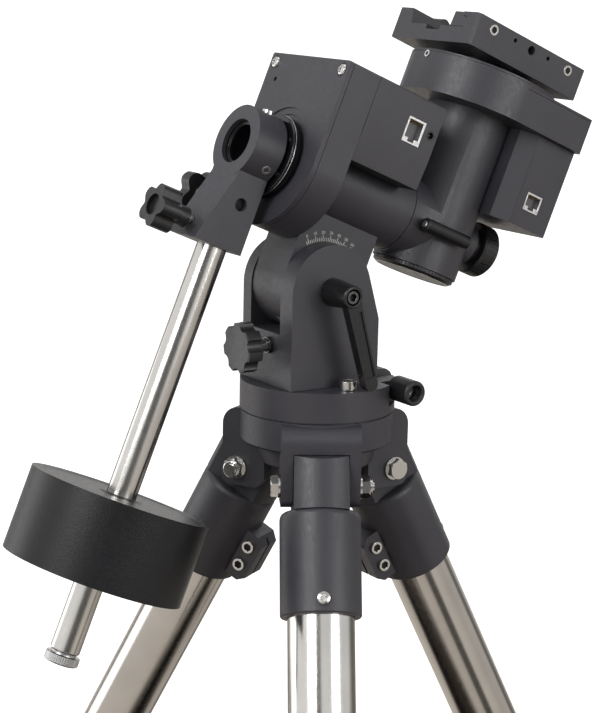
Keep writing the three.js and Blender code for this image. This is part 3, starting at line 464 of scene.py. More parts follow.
COLLAR_START, COLLAR_END, COLLAR_KNOB = 400, 448, 424
socket_mesh = socket_casting()
bolt_mesh = bolt_parts()
upper_mesh = pipe("z", 22.2, 20.7, -COLLAR_START - 6, -27, 128)
collar_mesh = combined(
    turned("z", [(19.4, -COLLAR_END), (25.5, -COLLAR_END), (27, -446), (27, -402.5), (24.5, -400.2),
                 (22.4, -400), (22.4, -404), (20.8, -407), (20.8, -430), (19.4, -432)], 128),
    *add(moved(combined(rod("x", 9, 24, 34), *cut(rod("z", 26, -20, 20))), 0, 0, -COLLAR_KNOB)),
    *cut(moved(rod("x", M6_HOLE, 17, 36), 0, 0, -COLLAR_KNOB)),
)
lower_mesh = pipe("z", 19.05, 17.3, -755.5, -300, 128)
foot_mesh = combined(
    turned("z", [(0, -759), (19.2, -756), (21.5, -755.6), (22.5, -757), (22.5, -769), (21, -771),
                 (20.4, -775), (18, -776), (17, -802), (0, -802)]),
    *add(pipe("z", 23, 21, -766, -762), pipe("z", 23, 21, -760, -758.5)),
    *cut(moved(spun(block((-80, 80), (-80, 80), (-60, 0)), "y", LEG_SPREAD), 0, 0, -790)),
)
leg_knob_mesh = combined(
    knob_head("x", 14.5, 5, 3.6, 34.5, 46), *add(rod("x", 3, 19.45, 35)))
for name, leg in LEGS.items():
    piece(name + "_casting", name, leg, socket_mesh, PAINT, [name + "_socket"], 0.9, 3)
    piece(name + "_bolt", "stand", leg, bolt_mesh, CHROME, [name + "_pivot_bolt"], 0.25)
    piece(name + "_tube", name, leg, upper_mesh, STEEL, [name + "_upper_tube"], 0.2)
    piece(name + "_clamp_collar", name, leg, collar_mesh, PAINT, bevel=0.6)
    piece(name + "_knob", name + "_knob", leg, moved(leg_knob_mesh.copy(), z=-COLLAR_KNOB), BLACK,
          [name + "_lock_knob"], 1.0, 3)
    piece(name + "_sliding_tube", name + "_foot", leg, lower_mesh, STEEL, [name + "_lower_tube"], 0.2)
    piece(name + "_rubber_foot", name + "_foot", leg, foot_mesh, RUBBER, bevel=0.6)
    for k, depth in enumerate(LUG_SCREWS):
        for side in (-1, 1):
            screw_name = f"{name}_lug_screw_{k + 1}_{'ab'[side > 0]}"
            hex_socket_screw(screw_name, name, leg, "y", (-31, 0, -depth), 4.4, side * 11.6, side * 14,
                             socket=0.58)
    cross_screw(name + "_front_screw", name, leg, "x", (0, 0, -79), 4.7, 26.7, 29.6)

# ---------------------------------------------------------------- azimuth ring, knobs and screws

PUSH_SCREWS_AT = (38.5, 0, -4)
LOCK_SCREW_X, LOCK_SCREW_Y = -4.3, 42.3


def azimuth_ring():
    profile = [(0, -7.5), (15, -7.5), (15, -20), (52.8, -20), (52.8, 0), (0, 0)]
    steps = cut(block((27, 60), (-19.5, 19.5), (-21, 1)))
    for side in FAR_NEAR.values():
        steps += cut(block((28, 60), sorted((side * 33.4, side * 60)), (-14.5, 1)))
        steps += cut(moved(rod("z", M8_HOLE, -21, 1), LOCK_SCREW_X, side * LOCK_SCREW_Y))
    steps += cut(moved(rod("y", M6_HOLE, -36, 36), *PUSH_SCREWS_AT))
    return combined(turned("z", profile, 144), *steps)


def azimuth_knob(side):
    profile = [(5.2, 38.3), (7.8, 38.3), (8.6, 39.1), (8.6, 58.9), (7.6, 60), (6, 60), (5.2, 59.2)]
    return turned("y", [(r, side * y) for r, y in profile])


def azimuth_screw(side):
    profile = [(0, 13.35), (1.5, 13.35), (3, 14.5), (3, 38), (5.1, 38.6), (5.1, 51), (4.4, 51.8), (0, 51.8)]
    return combined(turned("y", [(r, side * y) for r, y in profile], 48),
                    *cut(slab("y", hexagon(4.6), *sorted((side * 48, side * 54)))))


piece("azimuth_plate", "azimuth", STAND, azimuth_ring(), PAINT, ["azimuth_ring"], 0.7, 3)
for where, side in FAR_NEAR.items():
    body = "azimuth_knob_" + where
    piece(f"azimuth_push_screw_{where}", body, STAND, moved(azimuth_screw(side), *PUSH_SCREWS_AT), CHROME,
          bevel=0.2)
    piece(f"azimuth_grip_{where}", body, STAND, moved(azimuth_knob(side), *PUSH_SCREWS_AT), BLACK, [body],
          0.3)
    lock = "azimuth_lock_screw_" + where
    head = combined(rod("z", 6, 0.3, 6.2), *add(rod("z", 4, -20, 1)), *cut(slab("z", hexagon(5.8), 2.6, 7)))
    piece(f"azimuth_cap_screw_{where}", "azimuth", STAND, moved(head, LOCK_SCREW_X, side * LOCK_SCREW_Y),
          CHROME, [lock], 0.4)

# ---------------------------------------------------------------- fork, axle, lever and altitude knob

FORK_NORTH, FORK_SOUTH, ARCH = -42.8, 26.2, 30.8
ON_SCREW = {"y": -5, "z": 27}


def cheek_outline():
    shoulder = (FORK_SOUTH, 43.5)
    to_shoulder = math.atan2(shoulder[1] - PIVOT[1], shoulder[0] - PIVOT[0])
    distance = math.hypot(shoulder[1] - PIVOT[1], shoulder[0] - PIVOT[0])
    tangent = (to_shoulder + math.acos(ARCH / distance)) / DEG
    return [(FORK_NORTH, 0.3), (FORK_SOUTH, 0.3), shoulder, *arc(PIVOT, ARCH, tangent, 180, 40)]


def fork_casting():
    base = [(FORK_NORTH, 0.3), (FORK_SOUTH, 0.3), (FORK_SOUTH, 36), (FORK_NORTH, 36)]
    return combined(
        slab("y", base, -32.5, 32),
        *add(slab("y", cheek_outline(), -32.5, -18.1), slab("y", cheek_outline(), 18.1, 28)),
        *cut(moved(rod("y", 31, -18.1, 18.1, FINE), **AT_PIVOT),
             moved(rod("y", 5.4, -34, 30), **AT_PIVOT),
             block((PIVOT[0] - 16, PIVOT[0] + 16), (-13, 3), (19, 37)),
             moved(rod("x", 4.4, FORK_NORTH - 1, PIVOT[0] + 24), **ON_SCREW)),
    )


def lever_shapes():
    boss = turned("y", [(5.3, -32.9), (9.3, -32.9), (9, -40.9), (7.9, -52.5), (7.6, -56.7), (6.9, -57.5),
                        (5.3, -57.5)])
    arm = [(-5.7, 2), (-4.8, -61.5), *arc((0, -61.2), 4.8, 180, 360, 16)[1:-1], (4.8, -61.5), (5.7, 2)]
    lower = (-3.4, -57), (-3.9, -11), (3.9, -11), (3.4, -57)
    bar = combined(slab("y", arm, -57, -49.8), *cut(slab("y", lower, -58, -55.9), rod("y", 6.5, -60, -40)))
    return boss, spun(bar, "y", -15.9)


boss_mesh, bar_mesh = lever_shapes()
piece("fork_casting", "azimuth", STAND, fork_casting(), PAINT, ["fork"], 1.6, 4)
piece("lever_bar", "altitude_lever", STAND, moved(bar_mesh, **AT_PIVOT), LEVER_BLACK,
      ["altitude_lock_lever"], 0.8, 3)
piece("lever_boss", "altitude_lever", STAND, moved(boss_mesh, **AT_PIVOT), LEVER_BLACK, bevel=0.5)
axle = combined(rod("y", 4.3, -56.9, 29), *add(rod("y", 9, 28.3, 33.5)),
                *cut(slab("y", hexagon(4.6), -58, -52.5), slab("y", hexagon(8), 31, 35)))
piece("altitude_axle_bolt", "azimuth", STAND, moved(axle, **AT_PIVOT), DARK_STEEL, ["altitude_axle"], 0.9, 3)


def dimpled(mesh, radius, lobes, ends):
    """Round hollows cut along a knob's rim."""
    steps = []
    for k in range(lobes):
        steps += cut(spun(moved(rod("x", 4.8, *ends, 32), 0, 0, radius + 1.9), "x", (k + 0.5) * 360 / lobes))
    return combined(mesh, *steps)


knob_body = turned("x", [(4.4, -66), (4.4, -67.9), (16.6, -67.9), (16.6, -57.5), (7.5, -57.5), (7.5, -53.5),
                         (4.4, -53.5)])
knob_body = dimpled(knob_body, 16.6, 7, (-70, -56))
knob_face = dimpled(rod("x", 15.3, -68.1, -67.8, 96), 16.6, 7, (-70, -56))
piece("altitude_grip", "altitude_drive", STAND, moved(knob_body, **ON_SCREW), BLACK, ["altitude_knob"], 0.9,
      3)
piece("altitude_grip_face", "altitude_drive", STAND, moved(knob_face, **ON_SCREW), KNOB_FACE, bevel=0.1)
worm = [(0, -67.6), (4.1, -67.6), (4.1, -25.5), (5.2, -25)]
for k in range(8):
    worm += [(6.6, -24 + 3.1 * k), (5.4, -22.6 + 3.1 * k)]
worm += [(4, 0.5), (4, 11.5), (0, 11.5)]
worm_mesh = combined(turned("x", worm, 48), *cut(slab("x", hexagon(3.6), -69, -65)))
piece("altitude_screw", "altitude_drive", STAND, moved(worm_mesh, **ON_SCREW), CHROME, ["altitude_worm"],
      0.15)
piece("altitude_screw_collar", "azimuth", STAND, moved(pipe("x", 5.6, 4.45, -45.4, -43), **ON_SCREW),
      DARK_STEEL, bevel=0.3)

# ---------------------------------------------------------------- altitude body: block, housing and cover

D_HALF, D_TOP = 45.4, 69.9


def d_outline(half, top, corner=1.2):
    return [(-half, 0), *arc((0, 0), half, 180, 360, 64)[1:], (half, top - corner), (half - corner, top),
            (-half + corner, top), (-half, top - corner)]


def altitude_block():
    stadium = arc((0, 0), 30, 180, 360, 64) + [(30, 50), (-30, 50)]
    drum = moved(slab("y", stadium, -17.8, 17.8), *PIVOT_IN_POLAR)
    steps = cut(rod("x", 28.3, -60, 60, 128), moved(rod("y", 5.3, -30, 30), *PIVOT_IN_POLAR))
    for k in range(-12, 5):
        tooth = slab("y", [(-0.9, -30.6), (0.9, -30.6), (0, -28.7)], -11, 1)
        steps += cut(moved(spun(tooth, "y", k * 3.83 + 10.75), *PIVOT_IN_POLAR))
    return combined(drum, *steps)


def ra_housing():
    return combined(
        slab("x", d_outline(D_HALF, D_TOP), -55.5, -33.4),
        *add(rod("x", 28, -34.4, 40.8, 128)),
        *cut(slab("x", d_outline(D_HALF - 3.5, D_TOP - 3.5, 1), -56.5, -37.5),
             rod("x", 24.8, -38.4, -29, FINE), rod("x", 24.8, 32.5, 42, FINE), rod("x", 18.9, -40, 42, FINE),
             moved(rod("x", 6, -39, -32), 0, 20, 50)),
    )


def front_plate():
    return combined(
        slab("x", d_outline(D_HALF, D_TOP), -59.5, -55.9),
        *cut(rod("x", 35, -60.5, -58.5, 128), rod("x", 30.5, -60.5, -57.6, 128),
             rod("x", 19, -60.5, -55, FINE),
             *(moved(rod("x", 4.6, -60.5, -58.9), 0, w, 63.4) for w in (-39, 39)),
             moved(rod("x", 1.6, -60.5, -55), 0, 32.5, 52)),
    )


def cover_outline(inset):
    half, low = D_HALF - inset, D_HALF - inset - 1.5
    top, bottom = D_TOP - inset, 13.6 + inset
    return [(half, 33.5), (half, top - 1), (half - 1, top), (-half + 1, top), (-half, top - 1),
            (-half, 33.5), (-low, bottom), (low, bottom)]


PORT = {"x": (-2, 12.9), "z": (38.7, 55.6)}
POWER_AT = (19, 0, 49.4)


def electronics_cover():
    return combined(
        slab("x", cover_outline(0), -33.1, 24.6),
        *cut(slab("x", cover_outline(3), -30.1, 21.6), rod("x", 28.3, -35, 26, 128),
             block((PORT["x"][0] - 0.3, PORT["x"][1] + 0.3), (-47, -41),
                   (PORT["z"][0] - 0.3, PORT["z"][1] + 0.3)),
             moved(rod("y", 3.2, -47, -41), *POWER_AT)),
    )


piece("altitude_drum", "altitude", POLAR, altitude_block(), PAINT, ["altitude_block"], 0.7)
piece("polar_housing", "altitude", POLAR, ra_housing(), PAINT, ["ra_housing"], 0.9, 3)
piece("polar_front_plate", "altitude", POLAR, front_plate(), PAINT, ["ra_front_plate"], 0.9, 3)
# A black sheet between the front plate and the housing: painted shade in the joint gap.
gap_shade = slab("x", d_outline(D_HALF - 0.7, D_TOP - 0.7), -55.8, -55.55)
piece("polar_plate_gap_shade", "altitude", POLAR, gap_shade, DARK, bevel=0)
piece("electronics_housing", "altitude", POLAR, electronics_cover(), PAINT, ["electronics_cover"], 0.7, 3)
# A black sheet under the cover's overhang: painted shade beneath the cover.
underside_shade = combined(block((-32.8, 24.3), (-43.4, 43.4), (13.2, 13.55)), *cut(rod("x", 28.4, -35, 26, 128)))
piece("electronics_underside_shade", "altitude", POLAR, underside_shade, DARK, bevel=0)
for where, side in FAR_NEAR.items():
    cross_screw(f"plate_screw_{where}", "altitude", POLAR, "x", (0, side * 39, 63.4), 3.9, -58.9, -61)


def jack(name, body, xs, zs, face, deep):
    """A square modular socket: a tinned frame, a stepped mouth lined with grey and eight contacts."""
    (x0, x1), (z0, z1) = xs, zs
    middle = (x0 + x1) / 2
    shell = combined(block((x0, x1), (face, deep), (z0, z1)),
                     *cut(block((middle - 5.9, middle + 5.9), (face - 1, face + 11.5), (z0 + 3.6, z1 - 1.6)),
                          block((middle - 2.6, middle + 2.6), (face - 1, face + 11.5), (z0 + 1.4, z0 + 4))))
    piece(name + "_frame", body, POLAR, shell, JACK_TIN, bevel=0.25)
    for k in range(8):
        x = middle - 3.6 + 1.02 * k
        contact = block((x, x + 0.4), (face + 2, face + 6), (z1 - 2.4, z1 - 1.7))
        piece(f"{name}_contact_{k + 1}", body, POLAR, contact, BRASS, bevel=0)
    back = block((middle - 5.8, middle + 5.8), (face + 5.8, face + 6.4), (z0 + 1.5, z1 - 1.7))
    piece(name + "_depth", body, POLAR, back, JACK_GREY, bevel=0)


def circuit_board(name, body, replaced, plate, chips, cans):
    """A green board with black chips and silver cans standing on it."""
    piece(name, body, POLAR, block(*plate), BOARD, [replaced], 0.1)
    for k, (xs, ys) in enumerate(chips):
        top = plate[2][1]
        piece(f"{name}_chip_{k + 1}", body, POLAR, block(xs, ys, (top, top + 2)), DARK, bevel=0.2)
    for k, (x, y, radius, rise) in enumerate(cans):
        can = moved(rod("z", radius, plate[2][1], plate[2][1] + rise), x, y)
        piece(f"{name}_can_{k + 1}", body, POLAR, can, SILVER, bevel=0.4)


circuit_board("control_circuit", "altitude", "control_board", ((-29.5, 21), (-40, 40), (36.9, 38.5)),
              [((-20, 6), (-14, 12))], [(-20, 27, 4, 11), (-8, 27, 4, 11), (10, 24, 4, 11)])
jack("controller_socket", "altitude", PORT["x"], PORT["z"], -45.2, -28)
power = combined(rod("y", 3.1, -45.6, -36), *cut(rod("y", 2.1, -47, -37)))
piece("power_socket", "altitude", POLAR, moved(power, *POWER_AT), BLACK, bevel=0.2)
piece("power_socket_pin", "altitude", POLAR, moved(rod("y", 0.7, -44, -36.5), *POWER_AT), DARK_STEEL,
      bevel=0.2)

# ---------------------------------------------------------------- right-ascension body

RA = "right_ascension"
BAR_X = -81.4
FRONT_KNOB_Z, SIDE_KNOB_Z, WEIGHT_Z = -58, -38.2, -266.9


def ra_disc():
    """The front flange of the polar shaft, with its nose inside the bracket and its tube to the head."""
    return turned("x", [
        (13, -88), (16.7, -88), (16.7, -66), (26.9, -66), (27.5, -65.4), (27.5, -59), (18.3, -59),
        (18.3, 44.2), (13, 44.2),
    ], 128)


def bracket_casting():
    ring = turned("x", [(0, -91.4), (24.2, -91.4), (24.2, -69), (0, -69)], 128)
    side = [(-91.2, -12), (-91.2, -21.5), (-105.4, -66.5), (-105.6, -68.5), (-68.5, -68.5), (-68.8, -12)]
    return combined(
        ring, *add(slab("y", side, -16, 16)),
        *cut(rod("x", 14.75, -93, -87, FINE), rod("x", 17, -88.4, -68, FINE),
             moved(rod("z", 10.3, -70, -27.4), BAR_X),
             moved(rod("y", M8_HOLE, -17, 0), BAR_X, 0, SIDE_KNOB_Z),
             moved(rod("y", M6_HOLE, 0, 17), BAR_X, 0, SIDE_KNOB_Z),
             moved(rod("x", M6_HOLE, -110, BAR_X), z=FRONT_KNOB_Z)),
    )


def clamp_knob(axis, stem, neck, radius, thickness, lobes=5):
    """A lobed clamp knob on a steel screw: (grip, screw), with the screw's tip at the origin."""
    start, end = stem + neck, stem + neck + thickness
    grip = combined(
        knob_head(axis, radius, lobes, radius * 0.28, start, end),
        *add(turned(axis, [(0, stem + 1.6), (6.8, stem + 1.6), (6.8, start - 1), (8.4, start + 1),
                           (0, start + 1)], 64)),
    )
    screw = combined(rod(axis, 3, 0, stem + 2), *add(rod(axis, 5.6, stem + 0.1, stem + 1.6)))
    return grip, screw


def place_knob(name, body, node, meshes, turn, at):
    grip, screw = meshes
    for mesh in meshes:
        moved(spun(mesh, "z", turn), *at)
    piece(name + "_grip", body, POLAR, grip, BLACK, [node], 1.0, 3)
    piece(name + "_screw", body, POLAR, screw, CHROME, bevel=0.3)


piece("polar_shaft_flange", RA, POLAR, ra_disc(), GLOSS, ["ra_shaft"], 0.3)
piece("polar_shaft_rim", RA, POLAR, pipe("x", 27.75, 27, -64.3, -63.7, 128), SILVER, bevel=0.2)
for k in range(6):
    turn = 30 + 60 * k
    at = (0, 22.8 * math.cos(turn * DEG), 22.8 * math.sin(turn * DEG))
    screw_head = combined(rod("x", 1.7, -67.1, -65.9, 32), *cut(slab("x", hexagon(1.6), -68, -66.4)))
    piece(f"polar_flange_screw_{k + 1}", RA, POLAR, moved(screw_head, *at), DARK_STEEL, bevel=0.15)
piece("bracket_casting", RA, POLAR, bracket_casting(), PAINT, ["counterweight_bracket"], 0.8, 3)
piece("bracket_lens_ring", RA, POLAR, pipe("x", 14.6, 12.4, -87.2, -84, 128), GLOSS, bevel=0.3)
piece("bracket_window", RA, POLAR, turned("x", [(0, -67.6), (12.9, -67), (12.9, -66), (0, -66)], 96), GLOSS,
      bevel=0)
hex_socket_screw("bracket_top_screw", RA, POLAR, "z", (-77, -2, 0), 4.2, 22.5, 25.7, socket=0.55)
set_screw = combined(rod("z", 3.1, 22.5, 24.6, 40), *cut(slab("z", hexagon(3.2), 23, 26)))
piece("bracket_near_set_screw", RA, POLAR, moved(spun(set_screw, "x", 120), -75.5), SILVER, bevel=0.3)
# A black disc in the bracket's near side hole: painted shade in the hole.
piece("bracket_side_hole_shade", RA, POLAR, moved(rod("y", 4.1, -12.2, -10.6), BAR_X, 0, SIDE_KNOB_Z), DARK,
      bevel=0.3)
place_knob("bracket_front", "bracket_clamp_front", "bracket_knob_front",
           clamp_knob("x", 14, 12.7, 14.4, 14.5), 180, (-91.8, 0, FRONT_KNOB_Z))
place_knob("bracket_side", "bracket_clamp_side", "bracket_knob_side", clamp_knob("y", 7.5, 12, 17.2, 10), 0,
           (BAR_X, 10.4, SIDE_KNOB_Z))

bar = turned("z", [(0, -330.7), (4.3, -330.7), (4.3, -346.7), (9.2, -346.7), (10, -345.9), (10, -29),
                   (9, -28), (0, -28)], 128)
piece("counterweight_bar", RA, POLAR, moved(bar, BAR_X), STEEL, ["counterweight_shaft"], 0.2)


def knurled(mesh, radius, groove, low, high, count):
    """Fine grooves cut along a round rim about z."""
    step = 360 / count
    grooves = [spun(moved(rod("z", groove, low, high, 8), radius), "z", step * k) for k in range(count)]
    return combined(mesh, *cut(*grooves))


def end_cap():
    cap = turned("z", [(0, -354.9), (10.4, -354.9), (11.5, -354), (11.5, -349), (10.8, -348.3),
                       (8.4, -348.2), (8.4, -347.2), (4, -347.2), (4, -334), (0, -334)])
    return knurled(cap, 11.7, 0.55, -354, -349, 48)


piece("bar_end_cap", RA, POLAR, moved(end_cap(), BAR_X), SILVER, ["shaft_end_cap"], 0.15)
weight = combined(
    turned("z", [(10.3, -27.8), (14, -27.8), (15.5, -26.9), (55, -26.9), (57.5, -27.8), (60.6, -27.8),
                 (60.6, 27.8), (57.5, 27.8), (55, 26.9), (15.5, 26.9), (14, 27.8), (10.3, 27.8)], 160),
    *cut(rod("y", M6_HOLE, 5, 62)),
)
piece("counterweight_casting", "counterweight", POLAR, moved(weight, BAR_X, 0, WEIGHT_Z), IRON,
      ["counterweight"], 2.4, 5)
place_knob("counterweight_clamp", "counterweight_clamp", "counterweight_knob",
           clamp_knob("y", 50.8, 6, 14, 10), 0, (BAR_X, 10.4, WEIGHT_Z))

# ---------------------------------------------------------------- declination head

DEC_X = 77.9
TRAY_RADIUS, TRAY_SOUTH, TRAY_CORNER = 52.2, 141.3, 4
CLUTCH_AT = (0, -35.2, -3)


def tray_corners(inset):
    x, y = TRAY_SOUTH - inset - TRAY_CORNER, TRAY_RADIUS - inset - TRAY_CORNER
    return [*arc((x, -y), TRAY_CORNER, 270, 360, 6), *arc((x, y), TRAY_CORNER, 0, 90, 6)]


def tray_outline(inset):
    return [*arc((DEC_X, 0), TRAY_RADIUS - inset, 90, 270, 72), *tray_corners(inset)]


def dec_casting():
    head = moved(turned("z", [(0, -29), (30.1, -29), (30.1, 83.6), (0, 83.6)], 128), DEC_X)
    return combined(
        head,
        *add(rod("x", 28, 41.3, DEC_X, 128), rod("x", 15.5, DEC_X, 111.7, FINE),
             slab("z", tray_outline(0), 82.6, 105.4),
             combined(moved(rod("z", TRAY_RADIUS, 105, 108.7, 144), DEC_X),
                      *cut(block((DEC_X, 140), (-60, 60), (104, 110))))),
        *cut(slab("z", tray_outline(3.3), 86, 110), moved(rod("z", 15.4, -30, 104, FINE), DEC_X),
             moved(rod("z", 22, 78, 87, FINE), DEC_X), rod("x", 13, 40, 115, FINE),
             rod("x", 18.6, 40, 44.5, FINE),
             moved(rod("y", M6_HOLE, -40, -18), 53, 0, -3)),
    )


def motor_housing():
    outline = [(95.5, -36.7), (106.2, -46), (139.5, -46), (140.5, -45), (140.5, 45), (139.5, 46),
               (106.2, 46), (95.5, 36.7)]
    return combined(
        slab("z", outline, 20.5, 82.3),
        *cut(block((111.5, 137.5), (-43, 43), (23.5, 83)), moved(rod("z", 30.4, 19, 83, 128), DEC_X),
             block((113, 127.6), (-47, -42), (32.1, 45.3)),
             block((106, 106.35), (-47, -45.75), (20, 75))),
    )


def bottom_cap():
    cap = turned("z", [(0, -33.2), (26.5, -33.2), (28.8, -31.6), (28.8, -29.3), (0, -29.3)], 128)
    return moved(knurled(cap, 29, 0.5, -31.5, -29, 72), DEC_X)


def clutch_handle():
    handle = turned("x", [(0, 47.6), (3.9, 47.6), (4.7, 48.4), (4.7, 85.9), (3.9, 86.7), (0, 86.7)], 64)
    handle = combined(handle, *cut(slab("x", hexagon(4.6), 83, 88)))
    moved(handle, *CLUTCH_AT)
    return combined(handle, *add(moved(rod("y", 4.6, -33.2, -28.4), 53, 0, -3),
                                 moved(rod("y", 3, -30, -19.5), 53, 0, -3)))


def eyepiece_parts():
    barrel = turned("x", [(0, 103), (12.7, 103), (12.7, 112), (12, 112.4), (12, 117), (17, 117.4),
                          (18.5, 119), (18.5, 129), (17, 130.6), (9, 130.6), (7.5, 129), (0, 129)], 128)
    ridges = [spun(block((120, 128.2), (-0.6, 0.6), (18.1, 19)), "x", 10 * k) for k in range(36)]
    return combined(barrel, *cut(*ridges))


piece("head_casting", RA, POLAR, dec_casting(), PAINT, ["dec_housing"], 0.7, 3)
piece("head_bottom_cap", RA, POLAR, bottom_cap(), BLACK, ["dec_bottom_cap"], 0.2)
piece("head_bottom_ring", RA, POLAR, moved(pipe("z", 26.4, 25.3, -33.45, -33.1, 128), DEC_X), SILVER,
      bevel=0)
lid_box = [(DEC_X, -TRAY_RADIUS), *tray_corners(0), (DEC_X, TRAY_RADIUS)]
lid = combined(
    moved(rod("z", TRAY_RADIUS, 105.7, 110.3, 144), DEC_X),
    *cut(block((20, DEC_X), (-60, 60), (105, 108.95))),
    *add(slab("z", lid_box, 105.7, 107.2)),
    *cut(moved(rod("z", 15.5, 102, 112, FINE), DEC_X)),
)
piece("gear_tray_lid", RA, POLAR, lid, PAINT, ["gear_cover"], 0.5, 3)
# A black sheet between the gear tray and its lid: painted shade in the joint gap.
gap_shade = combined(slab("z", tray_outline(0.7), 105.3, 105.8),
                  *add(moved(rod("z", TRAY_RADIUS - 0.7, 105.5, 109.1), DEC_X)),
                  *cut(moved(rod("z", 16, 102, 112), DEC_X), block((90, 140), (-60, 60), (105.8, 110))))
piece("gear_tray_gap_shade", RA, POLAR, gap_shade, DARK, bevel=0)
piece("motor_housing", RA, POLAR, motor_housing(), PAINT, ["motor_box"], 0.6, 3)
circuit_board("driver_circuit", RA, "driver_board", ((112, 136.5), (-41, 41), (30.8, 32.5)),
              [((116, 130), (-10, 12))], [(118, 24, 3, 8), (128, 24, 3, 8)])
jack("motor_socket", RA, (113.3, 127.3), (32.4, 45), -45.8, -26)
piece("clutch_handle", "ra_clutch", POLAR, clutch_handle(), LEVER_BLACK, ["ra_clutch_lever"], 0.5)
piece("clutch_handle_plug", "ra_clutch", POLAR, moved(rod("x", 2.4, 46.9, 48.2, 32), *CLUTCH_AT), SILVER,
      bevel=0.6, segments=3)
piece("polar_sight", RA, POLAR, eyepiece_parts(), BLACK, ["polar_eyepiece"], 0.4)
hex_socket_screw("gear_tray_front_screw", RA, POLAR, "x", (0, -1, 106.6), 2.4, 26.6, 25.2, socket=0.55)
for k, (x, y) in enumerate(((134, -45.5), (134, 45.5))):
    hex_socket_screw(f"gear_tray_screw_{k + 1}", RA, POLAR, "z", (x, y, 0), 2.2, 107.2, 107.8)

# ---------------------------------------------------------------- declination axis and saddle

DEC = "declination"
SADDLE_KNOB_AT = (73, 0, 131.5)
dec_axis = combined(
    moved(turned("z", [(9, -28.6), (15, -28.6), (15, 110.7), (35.4, 110.7), (36, 111.2), (36, 112.6),
                       (31.5, 113), (31.5, 115.6), (9, 115.6)], 128), DEC_X),
    *cut(rod("x", 11.5, 57, 99, FINE)),
)
piece("declination_axis", DEC, POLAR, dec_axis, GLOSS, ["dec_shaft"], 0.4)


def saddle_casting():
    near, far, low, top, floor = -41.75, 45.2, 115.85, 137.4, 126.8
    outline = [(near, low), (far, low), (far, top), (31.5, top), (28.4, floor), (10.2, floor),
               (10.2, floor - 3.2), (-4.8, floor - 3.2), (-4.8, floor), (-28.9, floor), (-29.4, 134.2),
               (-25.3, 134.9), (-24.9, top), (near, top)]
    corners = []
    for x, way in ((25.1, 1), (127.7, -1)):
        corners.append(slab("z", [(x, near - 1), (x, near + 2), (x + way * 3, near - 1)], low - 1, top + 1))
    holes = [moved(rod("y", 1.5, -43, -38), x, 0, 132.3) for x in (60.8, 92.3)]
    holes.append(moved(rod("y", 3.1, -43, -34), 76.5, 0, 131.6))
    holes += [moved(rod("y", 3.8, -43, -40.9), x, 0, 131.6) for x in (41.2, 112.2)]
    return combined(
        slab("x", outline, 25.2, 127.6),
        *cut(*corners, *holes, block((60.7, 85.3), (27, 36), (floor + 0.6, top + 1)),
             moved(rod("y", M6_HOLE, 35, 47), *SADDLE_KNOB_AT)),
    )


insert = [(-14.6, 137.4), (-24.3, 137.4), (-24.6, 134.8), (-28.7, 134.1), (-28.3, 127.2), (-13.8, 127.2)]
pad = [(28.6, 127.8), (35.7, 127.8), (35.7, 136.9), (31.2, 136.9)]
piece("saddle_casting", DEC, POLAR, saddle_casting(), PAINT, ["saddle"], 0.6, 3)
piece("saddle_fixed_jaw", DEC, POLAR, slab("x", insert, 25.8, 127), PAINT, ["saddle_insert"], 0.4, 3)
# A black sheet in the gap between the jaw and the saddle: painted shade in the gap.
jaw_gap_shade = [(-24.45, 137), (-24.9, 137), (-25.3, 134.75), (-29.25, 134.1), (-28.75, 126.9), (-14, 126.9),
              (-14, 127.1), (-28.4, 127.1), (-28.8, 134), (-24.85, 134.5)]
piece("saddle_jaw_gap_shade", DEC, POLAR, slab("x", jaw_gap_shade, 26, 126.8), DARK, bevel=0)
piece("saddle_clamp_pad", "saddle_pad", POLAR, slab("x", pad, 61, 85), BLACK, ["saddle_pad"], 0.5)
for k, x in enumerate((41.2, 112.2)):
    hex_socket_screw(f"saddle_side_screw_{k + 1}", DEC, POLAR, "y", (x, 0, 131.6), 3.6, -40.9, -41.9,
                     socket=0.56)
grip = combined(knob_head("y", 15.5, 6, 3.4, 49.7, 62.6),
                *add(turned("y", [(0, 46.6), (7, 46.6), (7, 49), (8.6, 50.4), (0, 50.4)], 64)))
piece("saddle_grip", "saddle_knob", POLAR, moved(grip, *SADDLE_KNOB_AT), BLACK, ["saddle_knob"], 1.0, 3)
clamp_screw = combined(rod("y", 3, 36.1, 47.5), *add(rod("y", 5.6, 45.5, 46.7)))
piece("saddle_clamp_screw", "saddle_knob", POLAR, moved(clamp_screw, *SADDLE_KNOB_AT), CHROME, bevel=0.2)

# ---------------------------------------------------------------- latitude scale on the drum


def strip(face, radii, turn, half_width):
    """A thin printed mark across an arc about the altitude axis, on the near side."""
    inner, outer = radii
    outline = [(-half_width, inner), (half_width, inner), (half_width, outer), (-half_width, outer)]
    mark = slab("y", outline, face - 0.12, face + 0.05)
    return moved(spun(mark, "y", turn), *PIVOT_IN_POLAR)


SCALE_FACE = -17.8
marks = [strip(SCALE_FACE, (31.2, 33.6 if k % 4 else 35.2), 2.5 * k, 0.24) for k in range(-17, 13)]
piece("latitude_marks", "altitude", POLAR, combined(marks[0], *add(*marks[1:])), SCALE_INK, bevel=0)
for k in range(-4, 3):
    text = bpy.data.curves.new(f"latitude_number_{k + 5}", "FONT")
    text.body = str(40 + 10 * k)
    text.size = 3
    text.align_x = "CENTER"
    text.extrude = 0.05
    label = scene_object(text.name, text)
    placed = (Matrix.Translation((PIVOT_IN_POLAR[0], SCALE_FACE - 0.05, PIVOT_IN_POLAR[2]))
              @ Matrix.Rotation(10 * k * DEG, 4, "Y") @ Matrix.Translation((0, 0, 36))
              @ Matrix.Rotation(90 * DEG, 4, "X"))
    label.matrix_world = POLAR @ placed
    text.materials.append(SCALE_INK)
    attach(label, "altitude")

# ---------------------------------------------------------------- inner parts that keep their CAD shape

